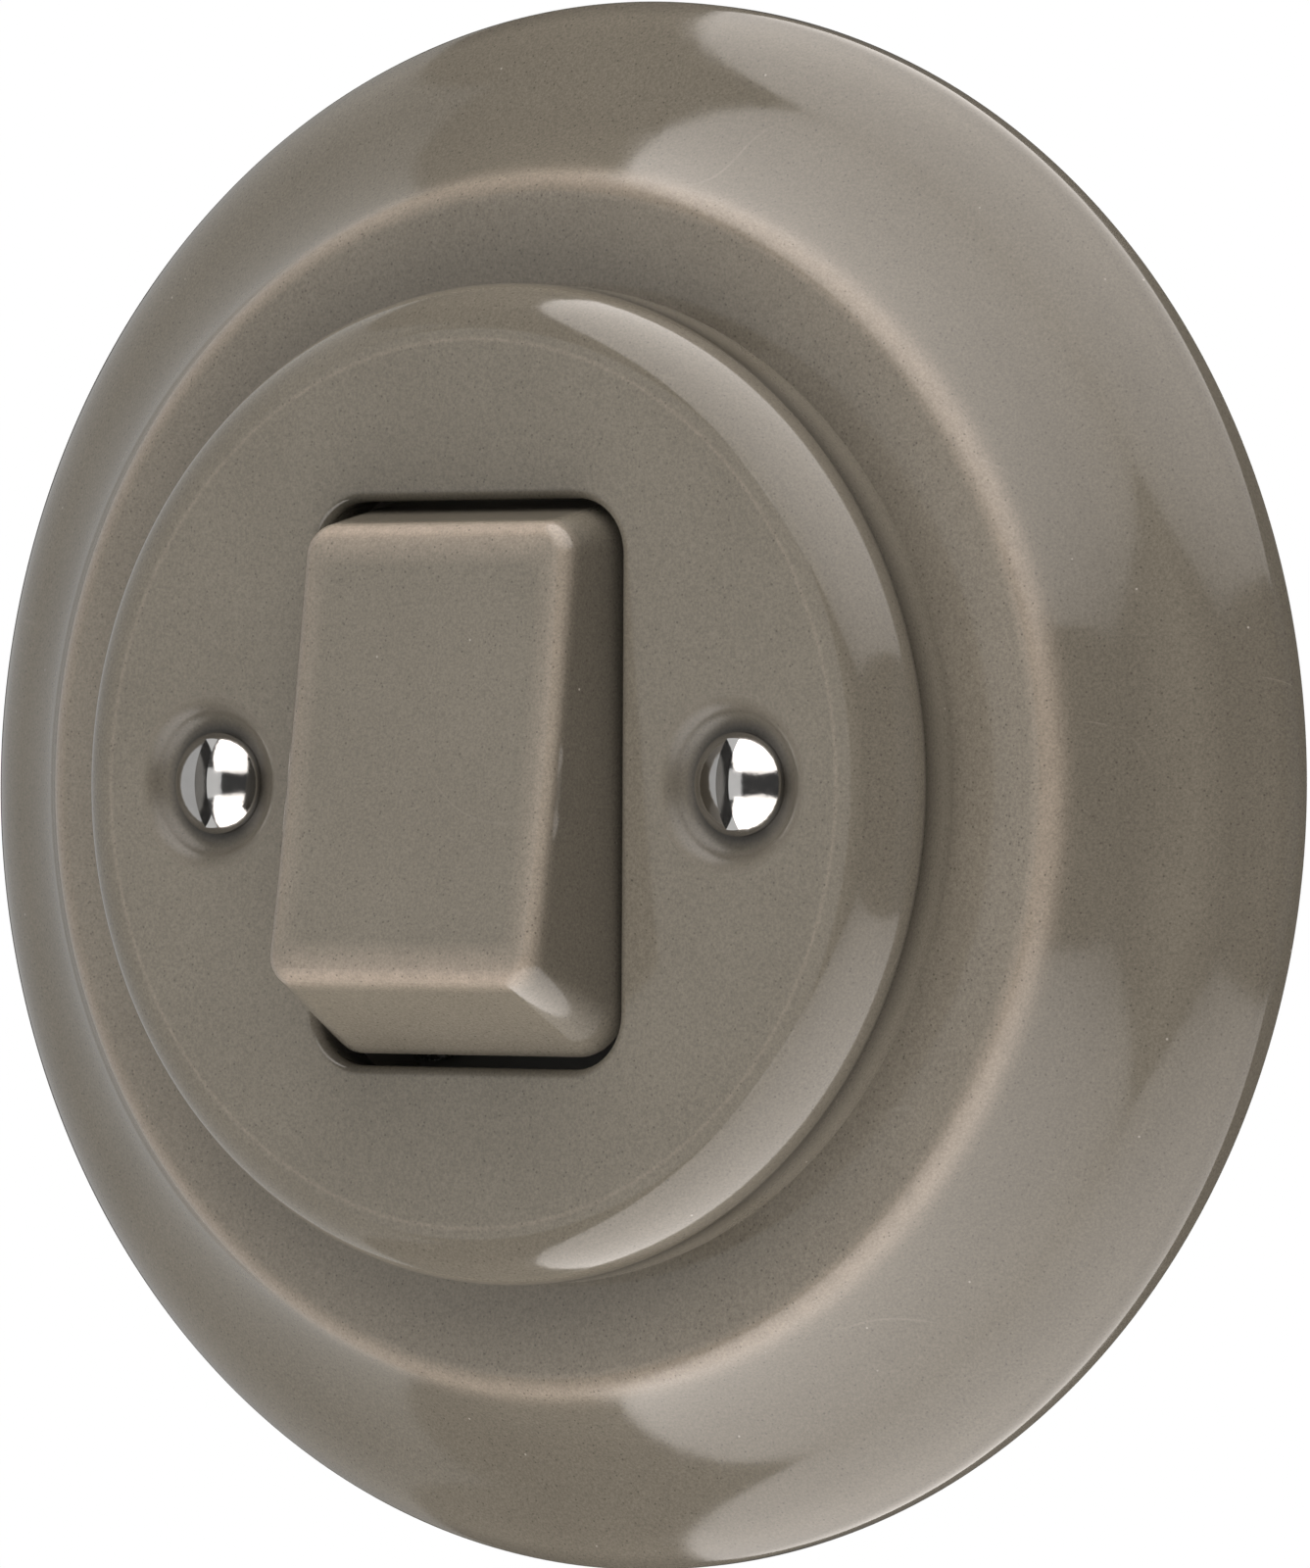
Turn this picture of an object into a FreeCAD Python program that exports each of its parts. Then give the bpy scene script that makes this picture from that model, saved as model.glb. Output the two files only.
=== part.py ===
import FreeCAD, Part
import math
import os

from FreeCAD import Vector

# A round porcelain rocker switch for a flush wall box, in millimetres.
# +X is to the right, +Z up, and the front faces -Y. The origin is on the wall, at the rosette's axis.
# Heights are measured from the wall towards the room, so a height h lies at Y = -h.
# The key and the parts that tilt with it are drawn level, and then turned to the resting position.

# Rosette: a turned ring with an ogee flange
rosette_radius = 50.0
rosette_rim_width = 0.35
rosette_nose_height = 2.47
rosette_flare_radius = 45.3
rosette_flare_height = 5.8
rosette_crest_radius = 37.0
rosette_crest_round = 2.2
rosette_crest_slope = 52.0
rosette_ring_height = 11.6
rosette_ring_thickness = 3.5
rosette_hole_radius = 28.9
rosette_back_rim = 4.5
rosette_wall = 3.5

# Cover disc
disc_radius = 31.5
disc_wall_height = 3.0
disc_round_height = 4.5
disc_round_width = 3.7
disc_face_thickness = 4.5
disc_spigot_depth = 2.5
disc_spigot_wall = 3.0
disc_spigot_clearance = 0.4
disc_boss_radius = 4.4
opening_width = 23.1
opening_height = 35.2
opening_corner = 3.4
opening_lip = 0.7
opening_end_draft = 10.0
opening_side_draft = 5.0

# Cover screws and their seats in the disc
screw_pitch = 40.0
screw_shank_radius = 1.5
screw_hole_clearance = 0.3
screw_head_radius = 3.25
screw_head_edge = 0.4
screw_head_dome = 1.7
screw_slot_width = 0.95
screw_slot_depth = 1.2
screw_length = 16.0
seat_depth = 1.2
seat_floor_clearance = 0.15
seat_flare = 2.3

# Rocker key
key_tilt = 8.3
key_pivot_height = 11.65
key_face_reach = 13.2
key_skirt_reach = 4.1
key_side_gap = 0.57
key_end_gap = 1.1
key_side_draft = 8.5
key_end_draft = 20.6
key_face_corner = 2.0
key_skirt_corner = 3.2
key_edge_round = 1.3
key_face_hollow = 0.45
key_wall = 2.4
key_face_thickness = 2.8

# Moulded insert in the key, and the carrier that it is pegged to
insert_thickness = 2.0
insert_clearance = 0.3
insert_corner = 1.5
peg_radius = 1.6
peg_spacing = 16.0
peg_clearance = 0.05
carrier_plate_thickness = 2.4
carrier_plate_width = 14.8
carrier_plate_length = 23.0
carrier_plate_corner = 2.0
carrier_web_width = 10.0
carrier_web_depth = 6.4
carrier_hub_radius = 3.3
carrier_tube_reach = 5.2
trunnion_radius = 2.0
trunnion_clearance = 0.05

# Plunger and its spring
plunger_radius = 2.05
plunger_clearance = 0.08
plunger_top_reach = 1.5
plunger_bore_depth = 8.8
spring_wire = 0.4
spring_turns = 5
spring_clearance = 0.15

# Seesaw contact
seesaw_pivot_height = 1.2
seesaw_gap = 0.1
seesaw_valley_rise = 1.2
seesaw_arm_length = 10.7
seesaw_arm_angle = 12.5
seesaw_thickness = 0.9
seesaw_width = 6.0
seesaw_hub_width = 3.2
seesaw_hub_gap = 0.1
fulcrum_radius = 0.5
fulcrum_clearance = 0.05
tip_radius = 1.3
tip_thickness = 0.7
tip_inset = 1.3
tip_gap = 0.08

# Fixed strips
strip_thickness = 0.7
strip_width = 5.0
strip_pad_length = 4.5
strip_leg_depth = 14.0
common_foot_width = 5.6

# Terminals
pillar_width = 6.0
pillar_length = 6.5
pillar_depth = 8.0
pillar_front_depth = 7.0
pillar_centre = 15.15
common_pillar_centre = 10.45
wire_bore_radius = 1.5
wire_entry_radius = 1.9
wire_funnel = 0.8
terminal_screw_radius = 1.4
terminal_head_radius = 2.1
terminal_head_length = 1.5
terminal_slot_width = 0.6
terminal_slot_depth = 0.7
terminal_hole_clearance = 0.3

# Base housing and cap
base_width = 31.0
base_length = 40.0
base_depth = 20.0
base_chamfer = 7.0
flange_width = 34.0
flange_length = 43.0
flange_thickness = 2.5
flange_corner = 3.0
collar_width = 30.0
collar_length = 40.0
collar_chamfer = 6.0
collar_height = 6.5
chamber_width = 9.0
chamber_floor_height = 0.1
chamber_clearance = 0.05
cap_thickness = 1.8
cap_window_clearance = 0.6
ear_thickness = 2.5
ear_radius = 3.7
ear_clearance = 0.3
cap_screw_x = 9.5
cap_screw_z = 15.5
cap_screw_radius = 1.2
cap_screw_length = 11.0
cap_screw_head_radius = 2.1
cap_screw_head_height = 1.2
cap_screw_slot = 0.6

# Mounting bridge, posts and rivets
bridge_size = 71.0
bridge_thickness = 1.0
bridge_clearance = 0.4
bridge_rim_clearance = 3.0
bridge_front_clearance = 1.0
box_screw_pitch = 60.0
box_slot_width = 4.2
box_slot_length = 7.0
post_across_flats = 5.5
post_shank_radius = 1.9
post_tail_radius = 2.4
post_tail_thickness = 0.6
post_gap = 0.3
thread_clearance = 0.05
rivet_x = 14.4
rivet_z = 19.0
rivet_radius = 1.2
rivet_head_radius = 2.0
rivet_head_height = 0.7
rivet_clearance = 0.05

# Heights that follow from the sizes above
disc_face_height = rosette_ring_height + disc_wall_height + disc_round_height
disc_back_height = disc_face_height - disc_face_thickness
disc_boss_height = rosette_ring_height - disc_spigot_depth
screw_x = screw_pitch / 2
seat_height = disc_face_height - seat_depth
pivot = Vector(0, -key_pivot_height, 0)
cap_front_height = collar_height + cap_thickness
plunger_tip_height = seesaw_pivot_height + seesaw_valley_rise + seesaw_gap
seesaw_pivot = Vector(0, -seesaw_pivot_height, 0)
key_rise = key_pivot_height + key_face_reach - disc_face_height
key_side_taper = 2 * math.tan(math.radians(key_side_draft))
key_end_taper = 2 * math.tan(math.radians(key_end_draft))
key_face_width = opening_width - 2 * key_side_gap - key_rise * key_side_taper
key_face_length = opening_height - 2 * key_end_gap - key_rise * key_end_taper
key_ceiling_reach = key_face_reach - key_face_thickness
insert_back_reach = key_ceiling_reach - insert_thickness
plate_back_reach = insert_back_reach - carrier_plate_thickness
ear_inner_x = carrier_plate_width / 2 + ear_clearance
common_foot_depth = pillar_front_depth - strip_thickness

X_AXIS = Vector(1, 0, 0)
Y_AXIS = Vector(0, 1, 0)
Z_AXIS = Vector(0, 0, 1)
TO_ROOM = Vector(0, -1, 0)
OVERCUT = 1.0


def block(x0, x1, low, high, z0, z1):
    """Box from height low to height high above the wall."""
    return Part.makeBox(x1 - x0, high - low, z1 - z0, Vector(x0, -high, z0))


def rod(radius, low, high, x=0.0, z=0.0):
    """Cylinder along the depth axis."""
    return Part.makeCylinder(radius, high - low, Vector(x, -low, z), TO_ROOM)


def cross_rod(radius, x0, x1, height, z=0.0):
    """Cylinder along X."""
    return Part.makeCylinder(radius, x1 - x0, Vector(x0, -height, z), X_AXIS)


def rounded_rectangle(width, length, corner, height):
    """Closed wire with round corners, parallel to the wall."""
    x = width / 2
    z = length / 2
    bow = corner * (1 - math.sqrt(0.5))
    edges = []
    for sx, sz in ((1, 1), (-1, 1), (-1, -1), (1, -1)):
        side = Vector(sx * x, -height, sz * (z - corner))
        top = Vector(sx * (x - corner), -height, sz * z)
        middle = Vector(sx * (x - bow), -height, sz * (z - bow))
        first, last = (side, top) if sx * sz > 0 else (top, side)
        edges.append(Part.Arc(first, middle, last).toShape())
    ends = [(edge.Vertexes[-1].Point, edges[(i + 1) % 4].Vertexes[0].Point) for i, edge in enumerate(edges)]
    outline = []
    for edge, (start, stop) in zip(edges, ends):
        outline.append(edge)
        outline.append(Part.makeLine(start, stop))
    return Part.Wire(outline)


def rounded_block(width, length, corner, low, high):
    """Prism with round corners, from height low to height high."""
    face = Part.Face(rounded_rectangle(width, length, corner, low))
    return face.extrude(TO_ROOM * (high - low))


def chamfered_block(width, length, chamfer, low, high):
    """Prism with cut corners, from height low to height high."""
    x = width / 2
    z = length / 2
    corners = [
        (x, z - chamfer), (x - chamfer, z), (chamfer - x, z), (-x, z - chamfer),
        (-x, chamfer - z), (chamfer - x, -z), (x - chamfer, -z), (x, chamfer - z),
    ]
    points = [Vector(px, -low, pz) for px, pz in corners]
    face = Part.Face(Part.makePolygon(points + points[:1]))
    return face.extrude(TO_ROOM * (high - low))


def tangent_arc(start, direction, end):
    """Arc from start to end that leaves start along direction, and its direction at the end."""
    chord = end - start
    along = Vector(chord).normalize()
    leave = Vector(direction).normalize()
    across = leave - along * leave.dot(along)
    turn = math.atan2(across.Length, leave.dot(along))
    bulge = across.normalize() * (chord.Length / 2 * math.tan(turn / 2))
    arrive = along * (2 * leave.dot(along)) - leave
    return Part.Arc(start, start + chord * 0.5 + bulge, end).toShape(), arrive


def turned(edges, x=0.0):
    """Solid of a closed outline spun about the depth axis through x."""
    face = Part.Face(Part.Wire(edges))
    return face.revolve(Vector(x, 0, 0), Y_AXIS, 360)


def lines(points):
    """Straight edges through the points."""
    return [Part.makeLine(a, b) for a, b in zip(points, points[1:])]


def outline_point(radius, height):
    return Vector(radius, -height, 0)


def fused(*shapes):
    """One solid from shapes that meet."""
    return shapes[0].multiFuse(list(shapes[1:])).removeSplitter()


def at_rest(shape):
    """The key's parts turned about the pivot to the resting position, top pressed in."""
    return shape.rotated(pivot, X_AXIS, -key_tilt)


def mirrored_pair(shape):
    """The shape and its image on the other side of the switch, left and right."""
    return [shape, shape.mirror(Vector(0, 0, 0), X_AXIS)]


def write(name, shape):
    shape.exportStep(os.path.join("parts", name + ".step"))


def rosette():
    slope = math.radians(rosette_crest_slope)
    crest = outline_point(rosette_crest_radius, rosette_ring_height)
    shoulder = outline_point(
        rosette_crest_radius + rosette_crest_round * math.sin(slope),
        rosette_ring_height - rosette_crest_round * (1 - math.cos(slope)),
    )
    flare = outline_point(rosette_flare_radius, rosette_flare_height)
    nose = outline_point(rosette_radius - rosette_rim_width, rosette_nose_height)
    crest_arc, direction = tangent_arc(crest, X_AXIS, shoulder)
    cove_arc, direction = tangent_arc(shoulder, direction, flare)
    nose_arc, direction = tangent_arc(flare, direction, nose)
    rim_round = rosette_rim_width / (1 - direction.y)
    rim = nose + Vector(rosette_rim_width, rim_round * direction.x, 0)
    rim_arc, direction = tangent_arc(nose, direction, rim)
    ring_back = rosette_ring_height - rosette_ring_thickness
    inside = [
        rim,
        outline_point(rosette_radius, 0),
        outline_point(rosette_radius - rosette_back_rim, 0),
        outline_point(rosette_radius - rosette_back_rim, bridge_thickness + bridge_front_clearance),
        outline_point(rosette_flare_radius - rosette_wall / 2, rosette_flare_height - rosette_wall),
        outline_point(rosette_crest_radius - rosette_wall / 2, ring_back),
        outline_point(rosette_hole_radius, ring_back),
        outline_point(rosette_hole_radius, rosette_ring_height),
        crest,
    ]
    return turned([crest_arc, cove_arc, nose_arc, rim_arc] + lines(inside))


def disc_opening():
    """Cutter for the key's opening: narrow at the face and wider at the back."""
    low = disc_boss_height - OVERCUT
    high = disc_face_height + OVERCUT
    wires = []
    for height in (low, high):
        below_face = disc_face_height - height
        width = opening_width + 2 * below_face * math.tan(math.radians(opening_side_draft))
        length = opening_height + 2 * below_face * math.tan(math.radians(opening_end_draft))
        wires.append(rounded_rectangle(width, length, opening_corner, height))
    return Part.makeLoft(wires, True, True)


def screw_seat():
    """Cutter for a smooth dish under a screw head, on the switch's axis."""
    floor_radius = screw_head_radius + seat_floor_clearance
    floor = outline_point(floor_radius, seat_height)
    brim = outline_point(floor_radius + seat_flare, disc_face_height)
    middle = (floor + brim) * 0.5
    low_arc, direction = tangent_arc(floor, X_AXIS, middle)
    high_arc, direction = tangent_arc(middle, direction, brim)
    top = disc_face_height + OVERCUT
    straight = [brim, outline_point(brim.x, top), outline_point(0, top), outline_point(0, seat_height), floor]
    return turned([low_arc, high_arc] + lines(straight))


def cover_disc():
    spigot_radius = rosette_hole_radius - disc_spigot_clearance
    hollow_radius = spigot_radius - disc_spigot_wall
    wall_top = rosette_ring_height + disc_wall_height
    edge_low = outline_point(disc_radius, wall_top)
    edge_high = outline_point(disc_radius - disc_round_width, disc_face_height)
    ease = 4 / 3 * (math.sqrt(2) - 1)
    pull_low = edge_low + TO_ROOM * (disc_round_height * ease)
    pull_high = edge_high + X_AXIS * (disc_round_width * ease)
    round_over = Part.BezierCurve()
    round_over.setPoles([edge_low, pull_low, pull_high, edge_high])
    rest = [
        edge_high,
        outline_point(0, disc_face_height),
        outline_point(0, disc_back_height),
        outline_point(hollow_radius, disc_back_height),
        outline_point(hollow_radius, disc_boss_height),
        outline_point(spigot_radius, disc_boss_height),
        outline_point(spigot_radius, rosette_ring_height),
        outline_point(disc_radius, rosette_ring_height),
        edge_low,
    ]
    body = turned([round_over.toShape()] + lines(rest))
    boss = rod(disc_boss_radius, disc_boss_height, disc_face_height - seat_depth, screw_x)
    web = block(
        screw_x, hollow_radius + disc_spigot_wall / 2,
        disc_boss_height, disc_back_height + OVERCUT / 2,
        -disc_boss_radius, disc_boss_radius,
    )
    body = fused(body, *mirrored_pair(boss.fuse(web)))
    body = body.cut(disc_opening())
    lip = [e for e in body.Edges if on_opening_lip(e)]
    body = body.makeFillet(opening_lip, lip)
    seat = screw_seat().translated(Vector(screw_x, 0, 0))
    hole_radius = screw_shank_radius + screw_hole_clearance
    hole = rod(hole_radius, disc_boss_height - OVERCUT, disc_face_height, screw_x)
    return body.cut(mirrored_pair(seat) + mirrored_pair(hole))


def on_opening_lip(edge):
    """True for the front edges of the key's opening."""
    box = edge.BoundBox
    on_face = abs(box.YMin + disc_face_height) < 1e-4 and abs(box.YMax + disc_face_height) < 1e-4
    return on_face and box.XMax < screw_x - disc_boss_radius and box.XMin > disc_boss_radius - screw_x


def cover_screws():
    head_low = seat_height + screw_head_edge
    dome_top = head_low + screw_head_dome
    edge = outline_point(screw_head_radius, head_low)
    top = outline_point(0, dome_top)
    dome_radius = (screw_head_radius**2 + screw_head_dome**2) / (2 * screw_head_dome)
    half_turn = math.asin(screw_head_radius / dome_radius) / 2
    middle = outline_point(
        dome_radius * math.sin(half_turn),
        dome_top - dome_radius * (1 - math.cos(half_turn)),
    )
    dome = Part.Arc(edge, middle, top).toShape()
    rest = [
        top,
        outline_point(0, seat_height - screw_length),
        outline_point(screw_shank_radius, seat_height - screw_length),
        outline_point(screw_shank_radius, seat_height),
        outline_point(screw_head_radius, seat_height),
        edge,
    ]
    screw = turned([dome] + lines(rest))
    slot = block(
        -screw_slot_width / 2, screw_slot_width / 2,
        dome_top - screw_slot_depth, dome_top + OVERCUT,
        -screw_head_radius - OVERCUT, screw_head_radius + OVERCUT,
    )
    screw = screw.cut(slot).translated(Vector(screw_x, 0, 0))
    return Part.makeCompound(mirrored_pair(screw))


def key_section(reach, inset):
    """Outline of the level key at a distance in front of the pivot, moved in by inset."""
    below_face = key_face_reach - reach
    share = below_face / (key_face_reach - key_skirt_reach)
    width = key_face_width + below_face * key_side_taper
    length = key_face_length + below_face * key_end_taper
    corner = key_face_corner + share * (key_skirt_corner - key_face_corner)
    corner = max(corner - inset, key_face_corner / 4)
    return rounded_rectangle(width - 2 * inset, length - 2 * inset, corner, key_pivot_height + reach)


def rocker_key():
    body = Part.makeLoft([key_section(key_skirt_reach, 0), key_section(key_face_reach, 0)], True, True)
    dish_radius = (key_face_length / 2) ** 2 / (2 * key_face_hollow)
    dish_height = key_pivot_height + key_face_reach - key_face_hollow + dish_radius
    body = body.cut(cross_rod(dish_radius, -key_face_width, key_face_width, dish_height))
    face_level = -(key_pivot_height + key_face_reach - key_face_hollow)
    rim = [e for e in body.Edges if e.BoundBox.YMax <= face_level + 1e-3]
    body = body.makeFillet(key_edge_round, rim)
    hollow = Part.makeLoft(
        [key_section(key_skirt_reach - OVERCUT, key_wall), key_section(key_ceiling_reach, key_wall)], True, True
    )
    return at_rest(body.cut(hollow))


def key_insert():
    section = key_section(key_ceiling_reach, key_wall + insert_clearance)
    box = section.BoundBox
    ceiling = key_pivot_height + key_ceiling_reach
    back = key_pivot_height + insert_back_reach
    plate = rounded_block(box.XLength, box.ZLength, insert_corner, back, ceiling)
    pegs = []
    for z in (-peg_spacing / 2, peg_spacing / 2):
        pegs.append(rod(peg_radius, back - carrier_plate_thickness, back, 0, z))
    return at_rest(fused(plate, *pegs))


def rocker_carrier():
    plate_front = key_pivot_height + insert_back_reach
    plate_back = key_pivot_height + plate_back_reach
    plate = rounded_block(
        carrier_plate_width, carrier_plate_length, carrier_plate_corner, plate_back, plate_front
    )
    web = block(
        -carrier_web_width / 2, carrier_web_width / 2,
        key_pivot_height, plate_back,
        -carrier_web_depth / 2, carrier_web_depth / 2,
    )
    half_hub = carrier_plate_width / 2
    hub = cross_rod(carrier_hub_radius, -half_hub, half_hub, key_pivot_height)
    half_axle = ear_inner_x + ear_thickness
    axle = cross_rod(trunnion_radius, -half_axle, half_axle, key_pivot_height)
    tube_low = key_pivot_height - carrier_tube_reach
    tube = rod(carrier_hub_radius, tube_low, key_pivot_height)
    body = fused(plate, web, hub, axle, tube)
    bore = rod(plunger_radius + plunger_clearance, tube_low - OVERCUT, tube_low + plunger_bore_depth)
    peg_holes = []
    for z in (-peg_spacing / 2, peg_spacing / 2):
        peg_holes.append(rod(peg_radius + peg_clearance, plate_back - OVERCUT, plate_front + OVERCUT, 0, z))
    return at_rest(body.cut([bore] + peg_holes))


def plunger():
    tip_centre = plunger_tip_height + plunger_radius
    top = key_pivot_height - plunger_top_reach
    stem = rod(plunger_radius, tip_centre, top)
    tip = Part.makeSphere(plunger_radius, Vector(0, -tip_centre, 0))
    return at_rest(fused(stem, tip))


def plunger_spring():
    """Coil of half turns, each a half circle in its own slanted plane, so that they join without a kink."""
    low = key_pivot_height - plunger_top_reach + spring_wire / 2
    high = key_pivot_height - carrier_tube_reach + plunger_bore_depth - spring_wire / 2
    coil_radius = plunger_radius - spring_clearance - spring_wire / 2
    half_turns = 2 * spring_turns
    rise = (high - low) / half_turns
    coils = []
    for i in range(half_turns):
        side = 1 if i % 2 == 0 else -1
        start = Vector(side * coil_radius, -low - i * rise, 0)
        stop = Vector(-side * coil_radius, -low - (i + 1) * rise, 0)
        leave = Z_AXIS * side
        section = Part.Face(Part.Wire(Part.makeCircle(spring_wire / 2, start, leave)))
        coils.append(section.revolve((start + stop) * 0.5, leave.cross(stop - start), -180))
    return at_rest(fused(*coils))


def seesaw_arm_parts():
    """One level arm of the seesaw and its tip, drawn along +Z from the valley."""
    valley_height = seesaw_pivot_height + seesaw_valley_rise
    valley = Vector(0, -valley_height, 0)
    arm = block(
        -seesaw_width / 2, seesaw_width / 2,
        valley_height - seesaw_thickness, valley_height,
        0, seesaw_arm_length,
    )
    tip_low = valley_height - seesaw_thickness - tip_thickness
    tip = rod(tip_radius, tip_low, valley_height - seesaw_thickness, 0, seesaw_arm_length - tip_inset)
    return [shape.rotated(valley, X_AXIS, seesaw_arm_angle) for shape in (arm, tip)]


def tilted_seesaw(shape):
    """The seesaw's parts turned to the resting position, lower arm pressed in."""
    return shape.rotated(seesaw_pivot, X_AXIS, key_tilt)


def upside_down(shape):
    return shape.mirror(Vector(0, 0, 0), Z_AXIS)


def contact_rocker():
    arm = seesaw_arm_parts()[0]
    hub = block(
        -seesaw_width / 2, seesaw_width / 2,
        seesaw_pivot_height + seesaw_hub_gap, seesaw_pivot_height + seesaw_valley_rise,
        -seesaw_hub_width / 2, seesaw_hub_width / 2,
    )
    groove = cross_rod(fulcrum_radius + fulcrum_clearance, -seesaw_width, seesaw_width, seesaw_pivot_height)
    return tilted_seesaw(fused(arm, upside_down(arm), hub).cut(groove))


def moving_contact_tips():
    tip = seesaw_arm_parts()[1]
    return [tilted_seesaw(tip), tilted_seesaw(upside_down(tip))]


def common_strip():
    foot_low = -pillar_front_depth
    foot_high = -common_foot_depth
    foot = block(
        -strip_width / 2, common_pillar_centre + pillar_length / 2,
        foot_low, foot_high,
        -common_foot_width / 2, common_foot_width / 2,
    )
    upright = block(
        -strip_width / 2, strip_width / 2,
        foot_low, seesaw_pivot_height,
        -fulcrum_radius, fulcrum_radius,
    )
    edge = cross_rod(fulcrum_radius, -strip_width / 2, strip_width / 2, seesaw_pivot_height)
    return fused(foot, upright, edge)


def upper_contact_strip():
    leg_outer = pillar_centre - pillar_length / 2
    pad_high = chamber_floor_height + strip_thickness
    pad = block(
        -strip_width / 2, strip_width / 2,
        chamber_floor_height, pad_high,
        leg_outer - strip_pad_length, leg_outer,
    )
    leg = block(
        -strip_width / 2, strip_width / 2,
        -strip_leg_depth, pad_high,
        leg_outer - strip_thickness, leg_outer,
    )
    return fused(pad, leg)


def fixed_contact_tips():
    pressed = tilted_seesaw(upside_down(seesaw_arm_parts()[1]))
    box = pressed.BoundBox
    low = chamber_floor_height + strip_thickness
    tip = rod(tip_radius, low, -box.YMax - tip_gap, 0, box.Center.z)
    return Part.makeCompound([tip, upside_down(tip)])


def terminal_pillar():
    """Pillar of the upper terminal, with its wire bore and screw thread."""
    front = -pillar_front_depth
    back = front - pillar_depth
    middle = front - pillar_depth / 2
    body = block(
        -pillar_width / 2, pillar_width / 2,
        back, front,
        pillar_centre - pillar_length / 2, pillar_centre + pillar_length / 2,
    )
    wire = rod(wire_bore_radius, back - OVERCUT, middle + wire_bore_radius * 2, 0, pillar_centre)
    thread = Part.makeCylinder(
        terminal_screw_radius + thread_clearance, pillar_length,
        Vector(0, -middle, pillar_centre), Z_AXIS,
    )
    return body.cut([wire, thread])


def terminal_screw():
    """Clamp screw of the upper terminal, flush with the side of the base."""
    middle = pillar_front_depth + pillar_depth / 2
    head_low = pillar_centre + pillar_length / 2 + chamber_clearance
    head_high = head_low + terminal_head_length
    head = Part.makeCylinder(terminal_head_radius, terminal_head_length, Vector(0, middle, head_low), Z_AXIS)
    shank_low = pillar_centre + wire_bore_radius
    shank = Part.makeCylinder(
        terminal_screw_radius, head_low - shank_low, Vector(0, middle, shank_low), Z_AXIS
    )
    slot = Part.makeBox(
        2 * terminal_head_radius + OVERCUT, terminal_slot_width, terminal_slot_depth + OVERCUT,
        Vector(
            -terminal_head_radius - OVERCUT / 2, middle - terminal_slot_width / 2,
            head_high - terminal_slot_depth,
        ),
    )
    return fused(head, shank).cut(slot)


def at_three_terminals(shape):
    """Copies at the upper, lower and common terminals of a shape drawn at the upper one."""
    common = shape.rotated(Vector(0, 0, 0), Y_AXIS, 90)
    common.translate(Vector(common_pillar_centre - pillar_centre, 0, 0))
    return [shape, upside_down(shape), common]


def base_housing():
    main = chamfered_block(base_width, base_length, base_chamfer, -base_depth, -flange_thickness)
    flange = rounded_block(flange_width, flange_length, flange_corner, -flange_thickness, 0)
    collar = chamfered_block(collar_width, collar_length, collar_chamfer, 0, collar_height)
    body = fused(main, flange, collar)
    pillar_outer = pillar_centre + pillar_length / 2 + chamber_clearance
    front = collar_height + OVERCUT
    chamber = block(
        -chamber_width / 2, chamber_width / 2, chamber_floor_height, front, -pillar_outer, pillar_outer
    )
    pocket_floor = -pillar_front_depth - pillar_depth
    half_pocket = pillar_width / 2 + chamber_clearance
    leg_inner = pillar_centre - pillar_length / 2 - strip_thickness - chamber_clearance
    pocket = block(-half_pocket, half_pocket, pocket_floor, front, leg_inner, pillar_outer)
    common_outer = common_pillar_centre + pillar_length / 2 + chamber_clearance
    common_inner = common_pillar_centre - pillar_length / 2 - chamber_clearance
    common_pocket = block(common_inner, common_outer, pocket_floor, front, -half_pocket, half_pocket)
    foot_slot = block(
        -strip_width / 2 - chamber_clearance, common_outer,
        -pillar_front_depth, front,
        -half_pocket, half_pocket,
    )
    screw_way = Part.makeCylinder(
        terminal_head_radius + terminal_hole_clearance, base_length,
        Vector(0, pillar_front_depth + pillar_depth / 2, pillar_outer - chamber_clearance), Z_AXIS,
    )
    wire_way = rod(wire_entry_radius, -base_depth - OVERCUT, pocket_floor + OVERCUT, 0, pillar_centre)
    funnel = Part.makeCone(
        wire_entry_radius + wire_funnel, wire_entry_radius, wire_funnel,
        Vector(0, base_depth, pillar_centre), TO_ROOM,
    )
    body = body.cut([chamber, pocket, upside_down(pocket), common_pocket, foot_slot])
    body = body.cut(at_three_terminals(screw_way) + at_three_terminals(wire_way) + at_three_terminals(funnel))
    screw_holes = []
    for x, z in cap_screw_places():
        radius = cap_screw_radius + thread_clearance
        screw_holes.append(rod(radius, cap_front_height - cap_screw_length, front, x, z))
    for x, z in rivet_places():
        screw_holes.append(rod(rivet_radius + rivet_clearance, -flange_thickness, OVERCUT, x, z))
    return body.cut(screw_holes)


def cap_screw_places():
    return [(cap_screw_x, cap_screw_z), (-cap_screw_x, -cap_screw_z)]


def rivet_places():
    return [(sx * rivet_x, sz * rivet_z) for sx in (-1, 1) for sz in (-1, 1)]


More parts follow.
